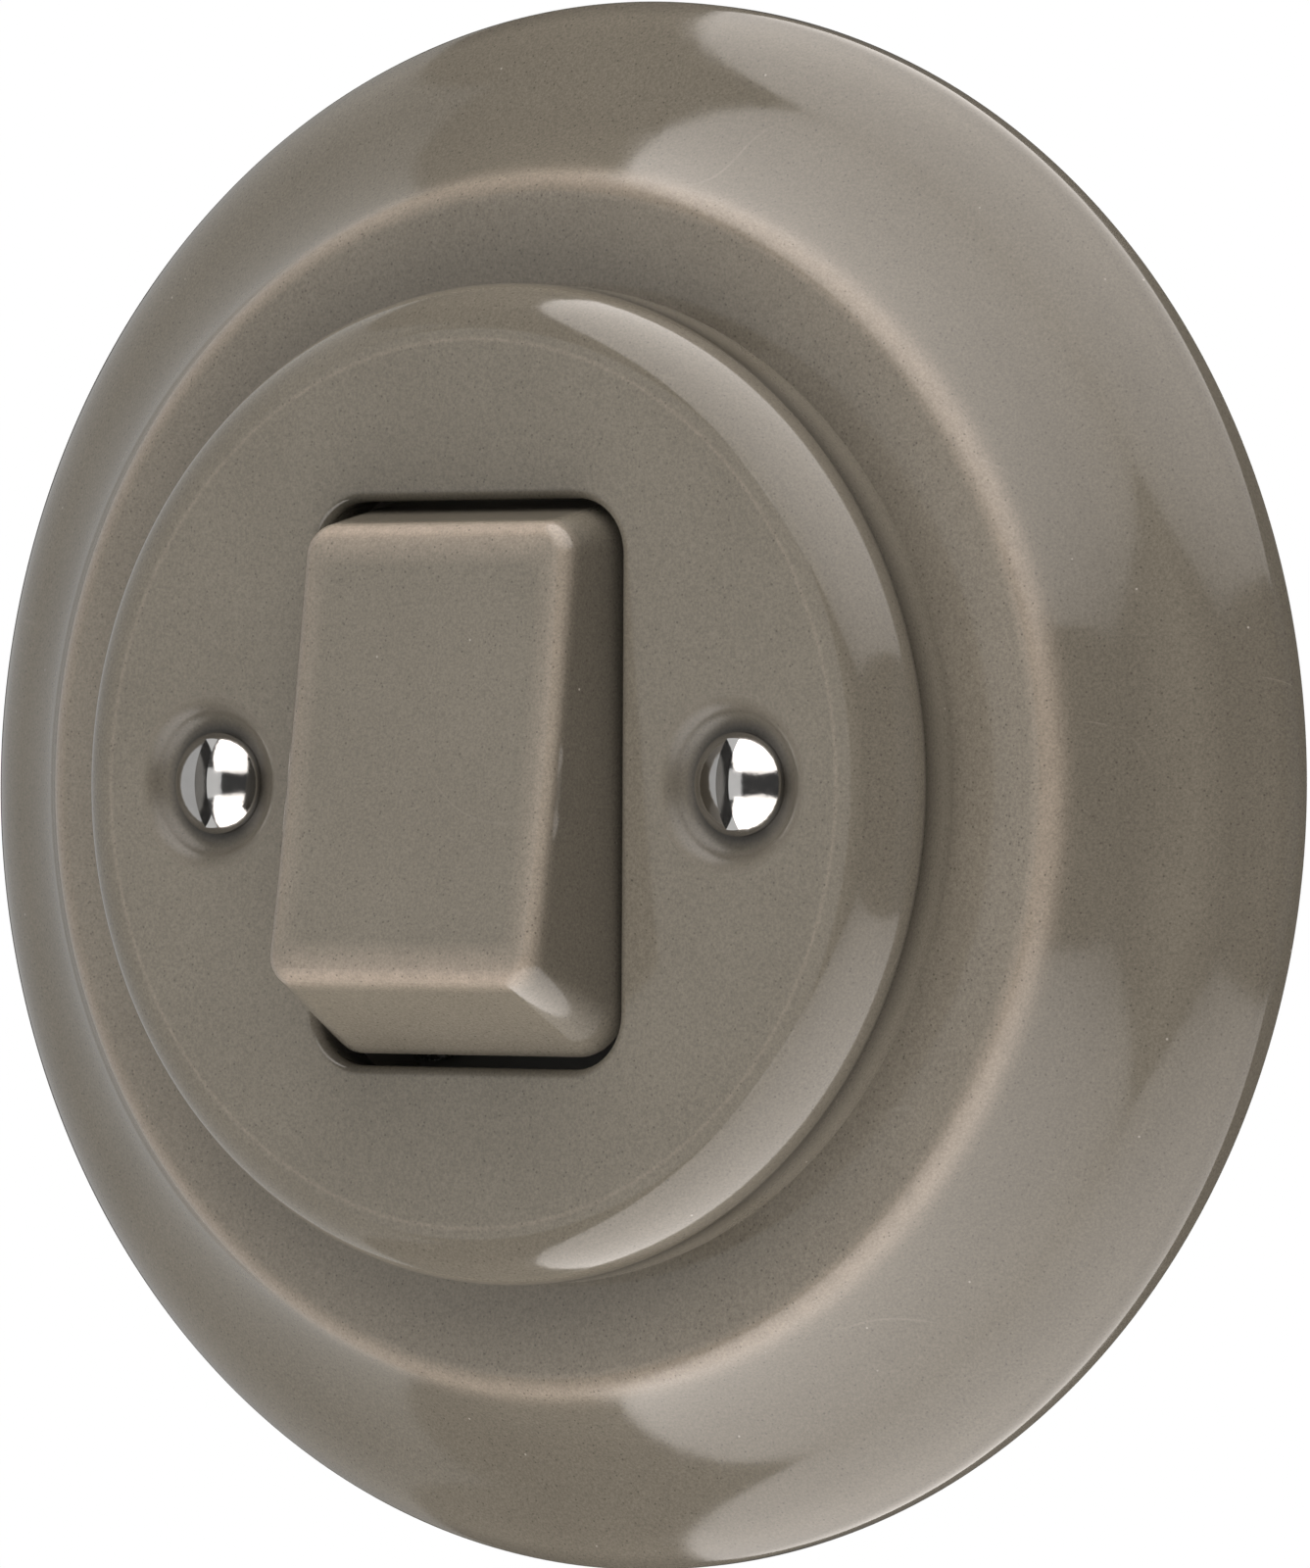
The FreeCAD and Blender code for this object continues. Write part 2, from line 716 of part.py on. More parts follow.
def base_cap():
    plate = chamfered_block(collar_width, collar_length, collar_chamfer, collar_height, cap_front_height)
    ear = fused(
        cross_rod(ear_radius, ear_inner_x, ear_inner_x + ear_thickness, key_pivot_height),
        block(
            ear_inner_x, ear_inner_x + ear_thickness,
            collar_height, key_pivot_height,
            -ear_radius, ear_radius,
        ),
    )
    body = fused(plate, *mirrored_pair(ear))
    sway = carrier_tube_reach * math.sin(math.radians(key_tilt))
    half_window_x = carrier_hub_radius + cap_window_clearance
    half_window_z = half_window_x + sway
    window = block(
        -half_window_x, half_window_x,
        collar_height - OVERCUT, cap_front_height + OVERCUT,
        -half_window_z, half_window_z,
    )
    trough = cross_rod(carrier_hub_radius + cap_window_clearance, -ear_inner_x, ear_inner_x, key_pivot_height)
    reach = ear_inner_x + ear_thickness + OVERCUT
    bearing = cross_rod(trunnion_radius + trunnion_clearance, -reach, reach, key_pivot_height)
    holes = []
    for x, z in cap_screw_places():
        radius = cap_screw_radius + thread_clearance
        holes.append(rod(radius, collar_height - OVERCUT, cap_front_height + OVERCUT, x, z))
    return body.cut([window, trough, bearing] + holes)


def cap_screws():
    screws = []
    for x, z in cap_screw_places():
        head_top = cap_front_height + cap_screw_head_height
        head = rod(cap_screw_head_radius, cap_front_height, head_top, x, z)
        shank = rod(cap_screw_radius, cap_front_height - cap_screw_length, cap_front_height, x, z)
        slot = block(
            x - cap_screw_head_radius - OVERCUT, x + cap_screw_head_radius + OVERCUT,
            head_top - cap_screw_head_height / 2, head_top + OVERCUT,
            z - cap_screw_slot / 2, z + cap_screw_slot / 2,
        )
        screws.append(fused(head, shank).cut(slot))
    return Part.makeCompound(screws)


def box_slot(along_x):
    """Radial slot for a wall-box screw, on the right or at the top."""
    straight = box_slot_length - box_slot_width
    radius = box_slot_width / 2
    low = -OVERCUT
    high = bridge_thickness + OVERCUT
    centre = box_screw_pitch / 2
    if along_x:
        ends = [(centre - straight / 2, 0), (centre + straight / 2, 0)]
        middle = block(ends[0][0], ends[1][0], low, high, -radius, radius)
    else:
        ends = [(0, centre - straight / 2), (0, centre + straight / 2)]
        middle = block(-radius, radius, low, high, ends[0][1], ends[1][1])
    return fused(middle, *[rod(radius, low, high, x, z) for x, z in ends])


def mounting_bridge():
    half = bridge_size / 2
    square = block(-half, half, 0, bridge_thickness, -half, half)
    corner_reach = rosette_radius - rosette_back_rim - bridge_rim_clearance
    plate = square.common(rod(corner_reach, 0, bridge_thickness))
    opening = chamfered_block(
        collar_width + 2 * bridge_clearance, collar_length + 2 * bridge_clearance,
        collar_chamfer, -OVERCUT, bridge_thickness + OVERCUT,
    )
    cuts = [opening]
    cuts += mirrored_pair(box_slot(True))
    cuts += [box_slot(False), upside_down(box_slot(False))]
    cuts += mirrored_pair(rod(post_shank_radius, -OVERCUT, bridge_thickness + OVERCUT, screw_x))
    for x, z in rivet_places():
        cuts.append(rod(rivet_radius + rivet_clearance, -OVERCUT, bridge_thickness + OVERCUT, x, z))
    return plate.cut(cuts)


def threaded_posts():
    corner = post_across_flats / math.sqrt(3)
    points = []
    for i in range(6):
        turn = math.radians(60 * i + 30)
        points.append(Vector(corner * math.cos(turn), -bridge_thickness, corner * math.sin(turn)))
    post_height = disc_boss_height - post_gap - bridge_thickness
    hexagon = Part.Face(Part.makePolygon(points + points[:1])).extrude(TO_ROOM * post_height)
    shank = rod(post_shank_radius, 0, bridge_thickness)
    tail = rod(post_tail_radius, -post_tail_thickness, 0)
    thread = rod(screw_shank_radius + thread_clearance, -post_tail_thickness - OVERCUT, disc_boss_height)
    post = fused(hexagon, shank, tail).cut(thread).translated(Vector(screw_x, 0, 0))
    return Part.makeCompound(mirrored_pair(post))


def bridge_rivets():
    rivets = []
    for x, z in rivet_places():
        shank = rod(rivet_radius, -flange_thickness, bridge_thickness, x, z)
        head = rod(rivet_head_radius, bridge_thickness, bridge_thickness + rivet_head_height, x, z)
        tail = rod(rivet_head_radius, -flange_thickness - rivet_head_height, -flange_thickness, x, z)
        rivets.append(fused(head, shank, tail))
    return Part.makeCompound(rivets)


os.makedirs("parts", exist_ok=True)

upper_strip = upper_contact_strip()

write("rosette", rosette())
write("cover_disc", cover_disc())
write("cover_screws", cover_screws())
write("rocker_key", rocker_key())
write("key_insert", key_insert())
write("rocker_carrier", rocker_carrier())
write("plunger", plunger())
write("plunger_spring", plunger_spring())
write("contact_rocker", contact_rocker())
write("moving_contact_tips", Part.makeCompound(moving_contact_tips()))
write("common_strip", common_strip())
write("upper_contact_strip", upper_strip)
write("lower_contact_strip", upside_down(upper_strip))
write("fixed_contact_tips", fixed_contact_tips())
write("terminal_pillars", Part.makeCompound(at_three_terminals(terminal_pillar())))
write("terminal_screws", Part.makeCompound(at_three_terminals(terminal_screw())))
write("base_housing", base_housing())
write("base_cap", base_cap())
write("cap_screws", cap_screws())
write("mounting_bridge", mounting_bridge())
write("threaded_posts", threaded_posts())
write("bridge_rivets", bridge_rivets())
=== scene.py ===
import math

import bmesh
import bpy
from mathutils import Matrix, Quaternion, Vector


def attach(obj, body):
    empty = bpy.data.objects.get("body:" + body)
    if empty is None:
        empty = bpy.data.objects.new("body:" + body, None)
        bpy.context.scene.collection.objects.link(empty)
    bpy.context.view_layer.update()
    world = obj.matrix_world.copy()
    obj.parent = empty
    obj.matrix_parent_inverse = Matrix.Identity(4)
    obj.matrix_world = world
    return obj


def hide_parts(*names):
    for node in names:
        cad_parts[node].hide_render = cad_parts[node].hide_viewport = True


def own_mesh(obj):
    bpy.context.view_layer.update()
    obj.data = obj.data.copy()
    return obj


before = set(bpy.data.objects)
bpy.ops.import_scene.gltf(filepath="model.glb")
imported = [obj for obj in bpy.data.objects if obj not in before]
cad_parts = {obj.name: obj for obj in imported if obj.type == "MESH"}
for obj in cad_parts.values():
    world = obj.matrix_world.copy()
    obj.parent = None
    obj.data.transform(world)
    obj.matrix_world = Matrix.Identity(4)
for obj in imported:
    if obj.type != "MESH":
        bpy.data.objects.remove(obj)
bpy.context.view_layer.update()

# A round porcelain rocker switch. The drawn sizes below are in millimetres, and meshes are in metres.
# The front faces -Y, so a height h above the wall lies at Y = -h.
MM = 0.001

# Rosette outline: radii, and heights above the wall
ROSETTE_RADIUS = 50.0
RIM_WIDTH = 0.35
NOSE_HEIGHT = 2.47
FLARE_RADIUS = 45.3
FLARE_HEIGHT = 5.8
CREST_RADIUS = 37.0
CREST_ROUND = 2.2
CREST_SLOPE = 52.0
RING_HEIGHT = 11.6
RING_THICKNESS = 3.5
RING_HOLE_RADIUS = 28.9
FOOT_WIDTH = 4.5
RECESS_HEIGHT = 2.0
ROSETTE_WALL = 3.5
HIDDEN_CORNER = 0.35
ROSETTE_SEGMENTS = 384

# Cover disc, its opening and its screw seats
DISC_RADIUS = 31.5
DISC_FACE_HEIGHT = 19.1
DISC_ROUND_HEIGHT = 4.5
DISC_ROUND_WIDTH = 3.7
DISC_FACE_THICKNESS = 4.5
CREASE_WIDTH = 0.2
SPIGOT_DEPTH = 2.5
SPIGOT_WALL = 3.0
SPIGOT_CLEARANCE = 0.4
BOSS_RADIUS = 4.4
BOSS_WEB_END = 27.0
OPENING_WIDTH = 23.1
OPENING_HEIGHT = 35.2
OPENING_CORNER = 3.4
OPENING_LIP = 0.7
OPENING_SIDE_DRAFT = 5.0
OPENING_END_DRAFT = 10.0
SEAT_DEPTH = 1.2
SEAT_FLARE = 2.3
SEAT_CLEARANCE = 0.15
SCREW_HOLE_RADIUS = 1.8

# Cover screws
SCREW_X = 20.0
SCREW_SEAT_HEIGHT = DISC_FACE_HEIGHT - SEAT_DEPTH
SCREW_HEAD_RADIUS = 3.25
SCREW_HEAD_EDGE = 0.4
SCREW_HEAD_DOME = 1.7
SCREW_SHANK_RADIUS = 1.5
SCREW_LENGTH = 16.0
SCREW_SLOT_WIDTH = 0.95
SCREW_SLOT_DEPTH = 1.2
SCREW_SEGMENTS = 128

# Rocker key, drawn level and then tilted about its pivot; a reach is measured from the pivot to the room
KEY_TILT = 8.3
KEY_PIVOT_HEIGHT = 11.65
KEY_FACE_REACH = 13.2
KEY_SKIRT_REACH = 4.1
KEY_SIDE_GAP = 0.57
KEY_END_GAP = 1.1
KEY_SIDE_DRAFT = 8.5
KEY_END_DRAFT = 20.6
KEY_FACE_CORNER = 2.0
KEY_SKIRT_CORNER = 3.2
KEY_EDGE_ROUND = 1.3
KEY_FACE_HOLLOW = 0.45
KEY_HOLLOW_MARGIN = 0.975
KEY_WALL = 2.4
KEY_FACE_THICKNESS = 2.8

# Points along arcs, rows of loops, and steps along a quarter of a loop: side, corner and end
CREST_POINTS = 14
SLOPE_POINTS = 30
RIM_POINTS = 10
DOME_POINTS = 28
SEAT_POINTS = 10
KEY_SIDE_ROWS = 16
KEY_EDGE_ROWS = 12
KEY_FACE_ROWS = 24
KEY_THIN_FACE_ROWS = 3
LIP_ROWS = 8
ROUND_ROWS = 24
WALL_ROWS = 6
LOOP_STEPS = (60, 12, 24)

# Edges that bend by more than these angles, in degrees, stay sharp
DISC_SHARP_ANGLE = 40.0
KEY_SHARP_ANGLE = 50.0
SCREW_SHARP_ANGLE = 35.0

# Glaze weights from 0 to 1, with their places and widths: thin on worn edges, and painted shade where less
# light falls
CREST_THINNESS = 0.55
CREST_EDGE = (CREST_RADIUS + 1.2, RING_HEIGHT - 0.4)
CREST_EDGE_WIDTH = 1.05
CREASE_THINNESS = 0.2
KEY_EDGE_THIN_AT = 0.6
KEY_EDGE_THIN_WIDTH = 0.5
KEY_SIDE_THINNESS = 0.4
# Painted shade on the key's sides, the slopes, the rosette rim and the disc's round-over, with painted
# shadow at the top of the disc's wall and round the screw heads
KEY_SIDE_SHADE = 0.6
SLOPE_SHADE = 0.19
SLOPE_FULL = 0.33
RIM_SHADE = 0.48
RIM_SHADE_WIDTH = 1.2
ROUND_SHADE = 0.6
WALL_SHADE = 2.2
SEAT_SHADE = 1.0

# A point this near an edge counts as on it
NEAR = 0.05

# Camera and studio, in metres and degrees, with the lens and sensor in millimetres
CAMERA_DISTANCE = 0.716
CAMERA_AZIMUTH = 34.6
CAMERA_ELEVATION = -0.24
CAMERA_ROLL = -0.28
CAMERA_LENS = 257.2
CAMERA_SENSOR = 36.0
AIM_RIGHT = 0.001046
AIM_UP = 0.000105
FLOOR_LEVEL = -0.2
FLOOR_RADIUS = 0.9
BACKDROP_RADIUS = 8.0
SOFTBOX_HEIGHT = 0.6
SOFTBOX_LEFT = -0.27
SOFTBOX_RIGHT = 1.35
SOFTBOX_FRONT = -1.56
SOFTBOX_BACK = 0.84
SOFTBOX_RADIANCE = 2.95
SOFTBOX_SPREAD = 152.0
SOFTBOX_TINT = (1.06, 1.0, 0.96)
FILL_DISTANCE = 1.5
WORLD_STRENGTH = 0.06

# Upright fill panels: name, bearing to the right of the front, half width, half height and radiance
FILLS = (
    ("fill_front", -20.0, 0.7, 0.7, 0.75),
    ("fill_left", -87.0, 1.35, 1.3, 0.5),
    ("fill_behind", 120.0, 0.8, 0.6, 0.15),
)


# Outlines

def arc_points(start, heading, end, count):
    """Points after start on the arc that leaves start along heading, and the heading at the end."""
    sx, sy = start
    dx, dy = end[0] - sx, end[1] - sy
    first = math.atan2(heading[1], heading[0])
    half_turn = math.atan2(dy, dx) - first
    radius = math.hypot(dx, dy) / (2 * math.sin(half_turn))
    points = []
    for i in range(1, count + 1):
        angle = first + 2 * half_turn * i / count
        x = sx + radius * (math.sin(angle) - math.sin(first))
        y = sy - radius * (math.cos(angle) - math.cos(first))
        points.append((x, y))
    last = first + 2 * half_turn
    return points, (math.cos(last), math.sin(last))


def eased_corner(before, corner, after, size, count=4):
    """Points that round a corner of an outline off by size."""
    def toward(point):
        dx, dy = point[0] - corner[0], point[1] - corner[1]
        length = math.hypot(dx, dy)
        return corner[0] + dx / length * size, corner[1] + dy / length * size
    a, b = toward(before), toward(after)
    points = []
    for i in range(count + 1):
        t = i / count
        x = (1 - t) ** 2 * a[0] + 2 * t * (1 - t) * corner[0] + t * t * b[0]
        y = (1 - t) ** 2 * a[1] + 2 * t * (1 - t) * corner[1] + t * t * b[1]
        points.append((x, y))
    return points


def rosette_outline():
    """Closed outline of the rosette: crest, cove, nose and rim as tangent arcs, then the hollow back."""
    slope = math.radians(CREST_SLOPE)
    crest = (CREST_RADIUS, RING_HEIGHT)
    shoulder = (
        CREST_RADIUS + CREST_ROUND * math.sin(slope),
        RING_HEIGHT - CREST_ROUND * (1 - math.cos(slope)),
    )
    flare = (FLARE_RADIUS, FLARE_HEIGHT)
    nose = (ROSETTE_RADIUS - RIM_WIDTH, NOSE_HEIGHT)
    crest_arc, heading = arc_points(crest, (1, 0), shoulder, CREST_POINTS)
    cove_arc, heading = arc_points(shoulder, heading, flare, SLOPE_POINTS)
    nose_arc, heading = arc_points(flare, heading, nose, SLOPE_POINTS)
    rim_round = RIM_WIDTH / (1 + heading[1])
    rim = (ROSETTE_RADIUS, NOSE_HEIGHT - rim_round * heading[0])
    rim_arc, heading = arc_points(nose, heading, rim, RIM_POINTS)
    foot_radius = ROSETTE_RADIUS - FOOT_WIDTH
    back = [
        rim,
        (ROSETTE_RADIUS, 0),
        (foot_radius, 0),
        (foot_radius, RECESS_HEIGHT),
        (FLARE_RADIUS - ROSETTE_WALL / 2, FLARE_HEIGHT - ROSETTE_WALL),
        (CREST_RADIUS - ROSETTE_WALL / 2, RING_HEIGHT - RING_THICKNESS),
        (RING_HOLE_RADIUS, RING_HEIGHT - RING_THICKNESS),
        (RING_HOLE_RADIUS, RING_HEIGHT),
        crest,
    ]
    outline = [crest] + crest_arc + cove_arc + nose_arc + rim_arc
    for before, corner, after in zip(back, back[1:], back[2:]):
        outline += eased_corner(before, corner, after, HIDDEN_CORNER)
    return outline + [crest]


def screw_outline():
    """Outline of a screw from the top of its dome down to the end of its shank."""
    head_low = SCREW_SEAT_HEIGHT + SCREW_HEAD_EDGE
    top = (0.0, head_low + SCREW_HEAD_DOME)
    edge = (SCREW_HEAD_RADIUS, head_low)
    dome, heading = arc_points(top, (1, 0), edge, DOME_POINTS)
    under = (SCREW_HEAD_RADIUS, SCREW_SEAT_HEIGHT)
    neck = (SCREW_SHANK_RADIUS, SCREW_SEAT_HEIGHT)
    end = (SCREW_SHANK_RADIUS, SCREW_SEAT_HEIGHT - SCREW_LENGTH)
    rim_ease = 0.08
    end_ease = 0.4
    return (
        [top] + dome[:-1]
        + eased_corner(dome[-2], edge, under, rim_ease)
        + eased_corner(edge, under, neck, rim_ease)
        + [neck]
        + eased_corner(neck, end, (0.0, end[1]), end_ease)
        + [(0.0, end[1])]
    )


def seat_outline():
    """Outline of the cutter for a dished screw seat and its hole, from below the boss to above the face."""
    floor = (SCREW_HEAD_RADIUS + SEAT_CLEARANCE, SCREW_SEAT_HEIGHT)
    brim = (floor[0] + SEAT_FLARE, DISC_FACE_HEIGHT)
    middle = ((floor[0] + brim[0]) / 2, (floor[1] + brim[1]) / 2)
    low_arc, heading = arc_points(floor, (1, 0), middle, SEAT_POINTS)
    high_arc, heading = arc_points(middle, heading, brim, SEAT_POINTS)
    above = DISC_FACE_HEIGHT + 1.0
    below = RING_HEIGHT - SPIGOT_DEPTH - 1.0
    rising = [(0.0, below), (SCREW_HOLE_RADIUS, below), (SCREW_HOLE_RADIUS, SCREW_SEAT_HEIGHT), floor]
    return rising + low_arc + high_arc + [(brim[0], above), (0.0, above)]


def boss_outline():
    """Outline of the round boss behind a screw seat."""
    low = RING_HEIGHT - SPIGOT_DEPTH
    high = SCREW_SEAT_HEIGHT - 0.5
    return [(0.0, low), (BOSS_RADIUS, low), (BOSS_RADIUS, high), (0.0, high)]


# Loops: closed rows of points, joined into walls

def rounded_loop(half_x, half_z, corner):
    """Points round a round-cornered rectangle: x, z, and the turn from side (0) to end (1)."""
    side_steps, corner_steps, end_steps = LOOP_STEPS
    quarter = [(half_x, (half_z - corner) * i / side_steps, 0.0) for i in range(side_steps)]
    for i in range(corner_steps):
        turn = i / corner_steps
        angle = turn * math.pi / 2
        x = half_x - corner + corner * math.cos(angle)
        z = half_z - corner + corner * math.sin(angle)
        quarter.append((x, z, turn))
    for i in range(end_steps + 1):
        quarter.append(((half_x - corner) * (1 - i / end_steps), half_z, 1.0))
    mirrored = quarter[::-1]
    return (
        quarter[:-1]
        + [(-x, z, turn) for x, z, turn in mirrored[:-1]]
        + [(-x, -z, turn) for x, z, turn in quarter[:-1]]
        + [(x, -z, turn) for x, z, turn in mirrored[:-1]]
    )


def loop_object(name, loops, ring_shaped):
    """Closed mesh through loops of points: x, height and z, and how thin the glaze is there."""
    count = len(loops[0])
    mesh = bpy.data.meshes.new(name)
    points = [(x * MM, -height * MM, z * MM) for row in loops for x, height, z, thin in row]
    faces = []
    last = len(loops) if ring_shaped else len(loops) - 1
    for j in range(last):
        low = j * count
        high = (j + 1) % len(loops) * count
        for i in range(count):
            k = (i + 1) % count
            faces.append((low + i, low + k, high + k, high + i))
    if not ring_shaped:
        faces.append(tuple(range(count)))
        faces.append(tuple(range(len(points) - count, len(points))))
    mesh.from_pydata(points, [], faces)
    thin_glaze = mesh.attributes.new("thin_glaze", "FLOAT", "POINT")
    thin_glaze.data.foreach_set("value", [point[3] for row in loops for point in row])
    made = bpy.data.objects.new(name, mesh)
    bpy.context.scene.collection.objects.link(made)
    face_outwards(mesh)
    return made


def bell(distance, width):
    """A weight that falls from 1 to 0 away from a place."""
    return math.exp(-((distance / width) ** 2))


def between(first, last, share):
    return first + (last - first) * share


def key_loops():
    """Loops of the level key: ceiling of its hollow, hollow, skirt, sides, rounded edge and face."""
    slopes = [math.radians(KEY_SIDE_DRAFT), math.radians(KEY_END_DRAFT)]
    rise = KEY_PIVOT_HEIGHT + KEY_FACE_REACH - DISC_FACE_HEIGHT
    face_half = [
        OPENING_WIDTH / 2 - KEY_SIDE_GAP - rise * math.tan(slopes[0]),
        OPENING_HEIGHT / 2 - KEY_END_GAP - rise * math.tan(slopes[1]),
    ]
    round_start = [KEY_FACE_REACH - KEY_EDGE_ROUND * (1 - math.sin(slope)) for slope in slopes]

    def loop(halves, corner, reaches, thin=0.0):
        row = []
        for x, z, turn in rounded_loop(halves[0], halves[1], corner):
            height = KEY_PIVOT_HEIGHT + between(reaches[0], reaches[1], turn)
            row.append((x, height, z, thin * between(KEY_SIDE_THINNESS, 1.0, turn)))
        return row

    def section(reaches, inset):
        halves = []
        for half, slope, reach in zip(face_half, slopes, reaches):
            halves.append(half + (KEY_FACE_REACH - reach) * math.tan(slope) - inset)
        depth = (KEY_FACE_REACH - reaches[0]) / (KEY_FACE_REACH - KEY_SKIRT_REACH)
        corner = between(KEY_FACE_CORNER, KEY_SKIRT_CORNER, depth) - inset
        return halves, max(corner, KEY_FACE_CORNER / 4)

    loops = []
    ceiling = [KEY_FACE_REACH - KEY_FACE_THICKNESS] * 2
    skirt = [KEY_SKIRT_REACH] * 2
    for reaches, inset in ((ceiling, KEY_WALL), (skirt, KEY_WALL)):
        halves, corner = section(reaches, inset)
        loops.append(loop(halves, corner, reaches))
    for i in range(KEY_SIDE_ROWS):
        reaches = [between(KEY_SKIRT_REACH, start, i / KEY_SIDE_ROWS) for start in round_start]
        halves, corner = section(reaches, 0)
        loops.append(loop(halves, corner, reaches))
    start_halves, start_corner = section(round_start, 0)
    for i in range(KEY_EDGE_ROWS + 1):
        halves, reaches = [], []
        for half, slope in zip(face_half, slopes):
            lean = between(slope, math.pi / 2, i / KEY_EDGE_ROWS)
            centre = half - KEY_EDGE_ROUND * (1 - math.sin(slope)) / math.cos(slope)
            halves.append(centre + KEY_EDGE_ROUND * math.cos(lean))
            reaches.append(KEY_FACE_REACH - KEY_EDGE_ROUND * (1 - math.sin(lean)))
        corner = start_corner - (start_halves[0] - halves[0])
        loops.append(loop(halves, corner, reaches, edge_thinness(i / KEY_EDGE_ROWS)))
    for i in range(1, KEY_FACE_ROWS):
        share = 1 - i / KEY_FACE_ROWS
        thin = edge_thinness(1.0) * max(0.0, 1 - i / KEY_THIN_FACE_ROWS)
        loops.append(loop([half * share for half in halves], corner * share, [KEY_FACE_REACH] * 2, thin))
    return [hollowed(row, face_half[1]) for row in loops]


def hollowed(row, half_length):
    """Sinks the points of a loop near the face into its shallow finger hollow."""
    radius = half_length ** 2 / (2 * KEY_FACE_HOLLOW)
    face = KEY_PIVOT_HEIGHT + KEY_FACE_REACH
    sunk = []
    for x, height, z, thin in row:
        near = min(1.0, max(0.0, 1 - (face - height) / KEY_EDGE_ROUND))
        from_middle = min(abs(z), half_length - KEY_HOLLOW_MARGIN)
        dip = KEY_FACE_HOLLOW - radius + math.sqrt(radius ** 2 - from_middle ** 2)
        sunk.append((x, height - dip * near, z, thin))
    return sunk


def edge_thinness(share):
    """How thin the glaze is over the key's rounded edge, from its side (0) to its face (1)."""
    return bell(share - KEY_EDGE_THIN_AT, KEY_EDGE_THIN_WIDTH)


def tilted(mesh):
    """Turns the level key's mesh to its resting place, with the top pressed in."""
    pivot = Vector((0, -KEY_PIVOT_HEIGHT * MM, 0))
    turn = Matrix.Rotation(-math.radians(KEY_TILT), 4, "X")
    mesh.transform(Matrix.Translation(pivot) @ turn @ Matrix.Translation(-pivot))


def disc_loops():
    """Loops of the cover disc: opening, lip, face, round-over, wall, spigot and hollow back."""
    halves = (OPENING_WIDTH / 2, OPENING_HEIGHT / 2)
    slopes = (math.radians(OPENING_SIDE_DRAFT), math.radians(OPENING_END_DRAFT))
    back = DISC_FACE_HEIGHT - DISC_FACE_THICKNESS
    wall_top = DISC_FACE_HEIGHT - DISC_ROUND_HEIGHT
    spigot = RING_HOLE_RADIUS - SPIGOT_CLEARANCE

    def opening_loop(offsets, heights):
        corner = OPENING_CORNER + (offsets[0] + offsets[1]) / 2
        row = []
        for x, z, turn in rounded_loop(halves[0] + offsets[0], halves[1] + offsets[1], corner):
            row.append((x, between(heights[0], heights[1], turn), z, 0.0))
        return row

    loops = [opening_loop([DISC_FACE_THICKNESS * math.tan(slope) for slope in slopes], (back, back))]
    for i in range(LIP_ROWS + 1):
        offsets, heights = [], []
        for slope in slopes:
            lean = between(-slope, math.pi / 2, i / LIP_ROWS)
            centre = OPENING_LIP * (math.tan(slope) + 1 / math.cos(slope))
            offsets.append(centre - OPENING_LIP * math.cos(lean))
            heights.append(DISC_FACE_HEIGHT - OPENING_LIP * (1 - math.sin(lean)))
        loops.append(opening_loop(offsets, heights))
    bearings = [math.atan2(z, x) for x, height, z, thin in loops[-1]]

    def ring(radius, height):
        return [(radius * math.cos(a), height, radius * math.sin(a), 0.0) for a in bearings]

    loops.append(ring(DISC_RADIUS - DISC_ROUND_WIDTH - CREASE_WIDTH, DISC_FACE_HEIGHT))
    for i in range(ROUND_ROWS + 1):
        angle = math.pi / 2 * i / ROUND_ROWS
        radius = DISC_RADIUS - DISC_ROUND_WIDTH * (1 - math.sin(angle))
        loops.append(ring(radius, wall_top + DISC_ROUND_HEIGHT * math.cos(angle)))
    for i in range(1, WALL_ROWS + 1):
        loops.append(ring(DISC_RADIUS, between(wall_top, RING_HEIGHT, i / WALL_ROWS)))
    loops.append(ring(spigot, RING_HEIGHT))
    loops.append(ring(spigot, RING_HEIGHT - SPIGOT_DEPTH))
    loops.append(ring(spigot - SPIGOT_WALL, RING_HEIGHT - SPIGOT_DEPTH))
    loops.append(ring(spigot - SPIGOT_WALL, back))
    return loops


# Geometry node trees

class NodeTree:
    """A geometry node tree with short calls for its nodes, links and inputs."""

    def __init__(self, name):
        self.tree = bpy.data.node_groups.new(name, "GeometryNodeTree")
        self.tree.is_modifier = True
        self.sockets = {}
        self.socket("Geometry", "NodeSocketGeometry", "INPUT")
        self.socket("Geometry", "NodeSocketGeometry", "OUTPUT")
        self.entry = self.tree.nodes.new("NodeGroupInput")
        self.exit = self.tree.nodes.new("NodeGroupOutput")

    def socket(self, name, kind, side):
        made = self.tree.interface.new_socket(name=name, socket_type=kind, in_out=side)
        if side == "INPUT":
            self.sockets[name] = made.identifier
        return made

    def number(self, name, kind="NodeSocketFloat"):
        self.socket(name, kind, "INPUT")

    def given(self, name):
        return self.entry.outputs[name]

    def node(self, kind, inputs=None, **settings):
        made = self.tree.nodes.new(kind)
        for key, value in settings.items():
            setattr(made, key, value)
        for key, value in (inputs or {}).items():
            if isinstance(value, bpy.types.NodeSocket):
                self.tree.links.new(value, made.inputs[key])
            else:
                made.inputs[key].default_value = value
        return made

    def math(self, operation, first, second=0.0):
        return self.node("ShaderNodeMath", {0: first, 1: second}, operation=operation).outputs[0]

    def end(self, geometry):
        self.tree.links.new(geometry, self.exit.inputs["Geometry"])


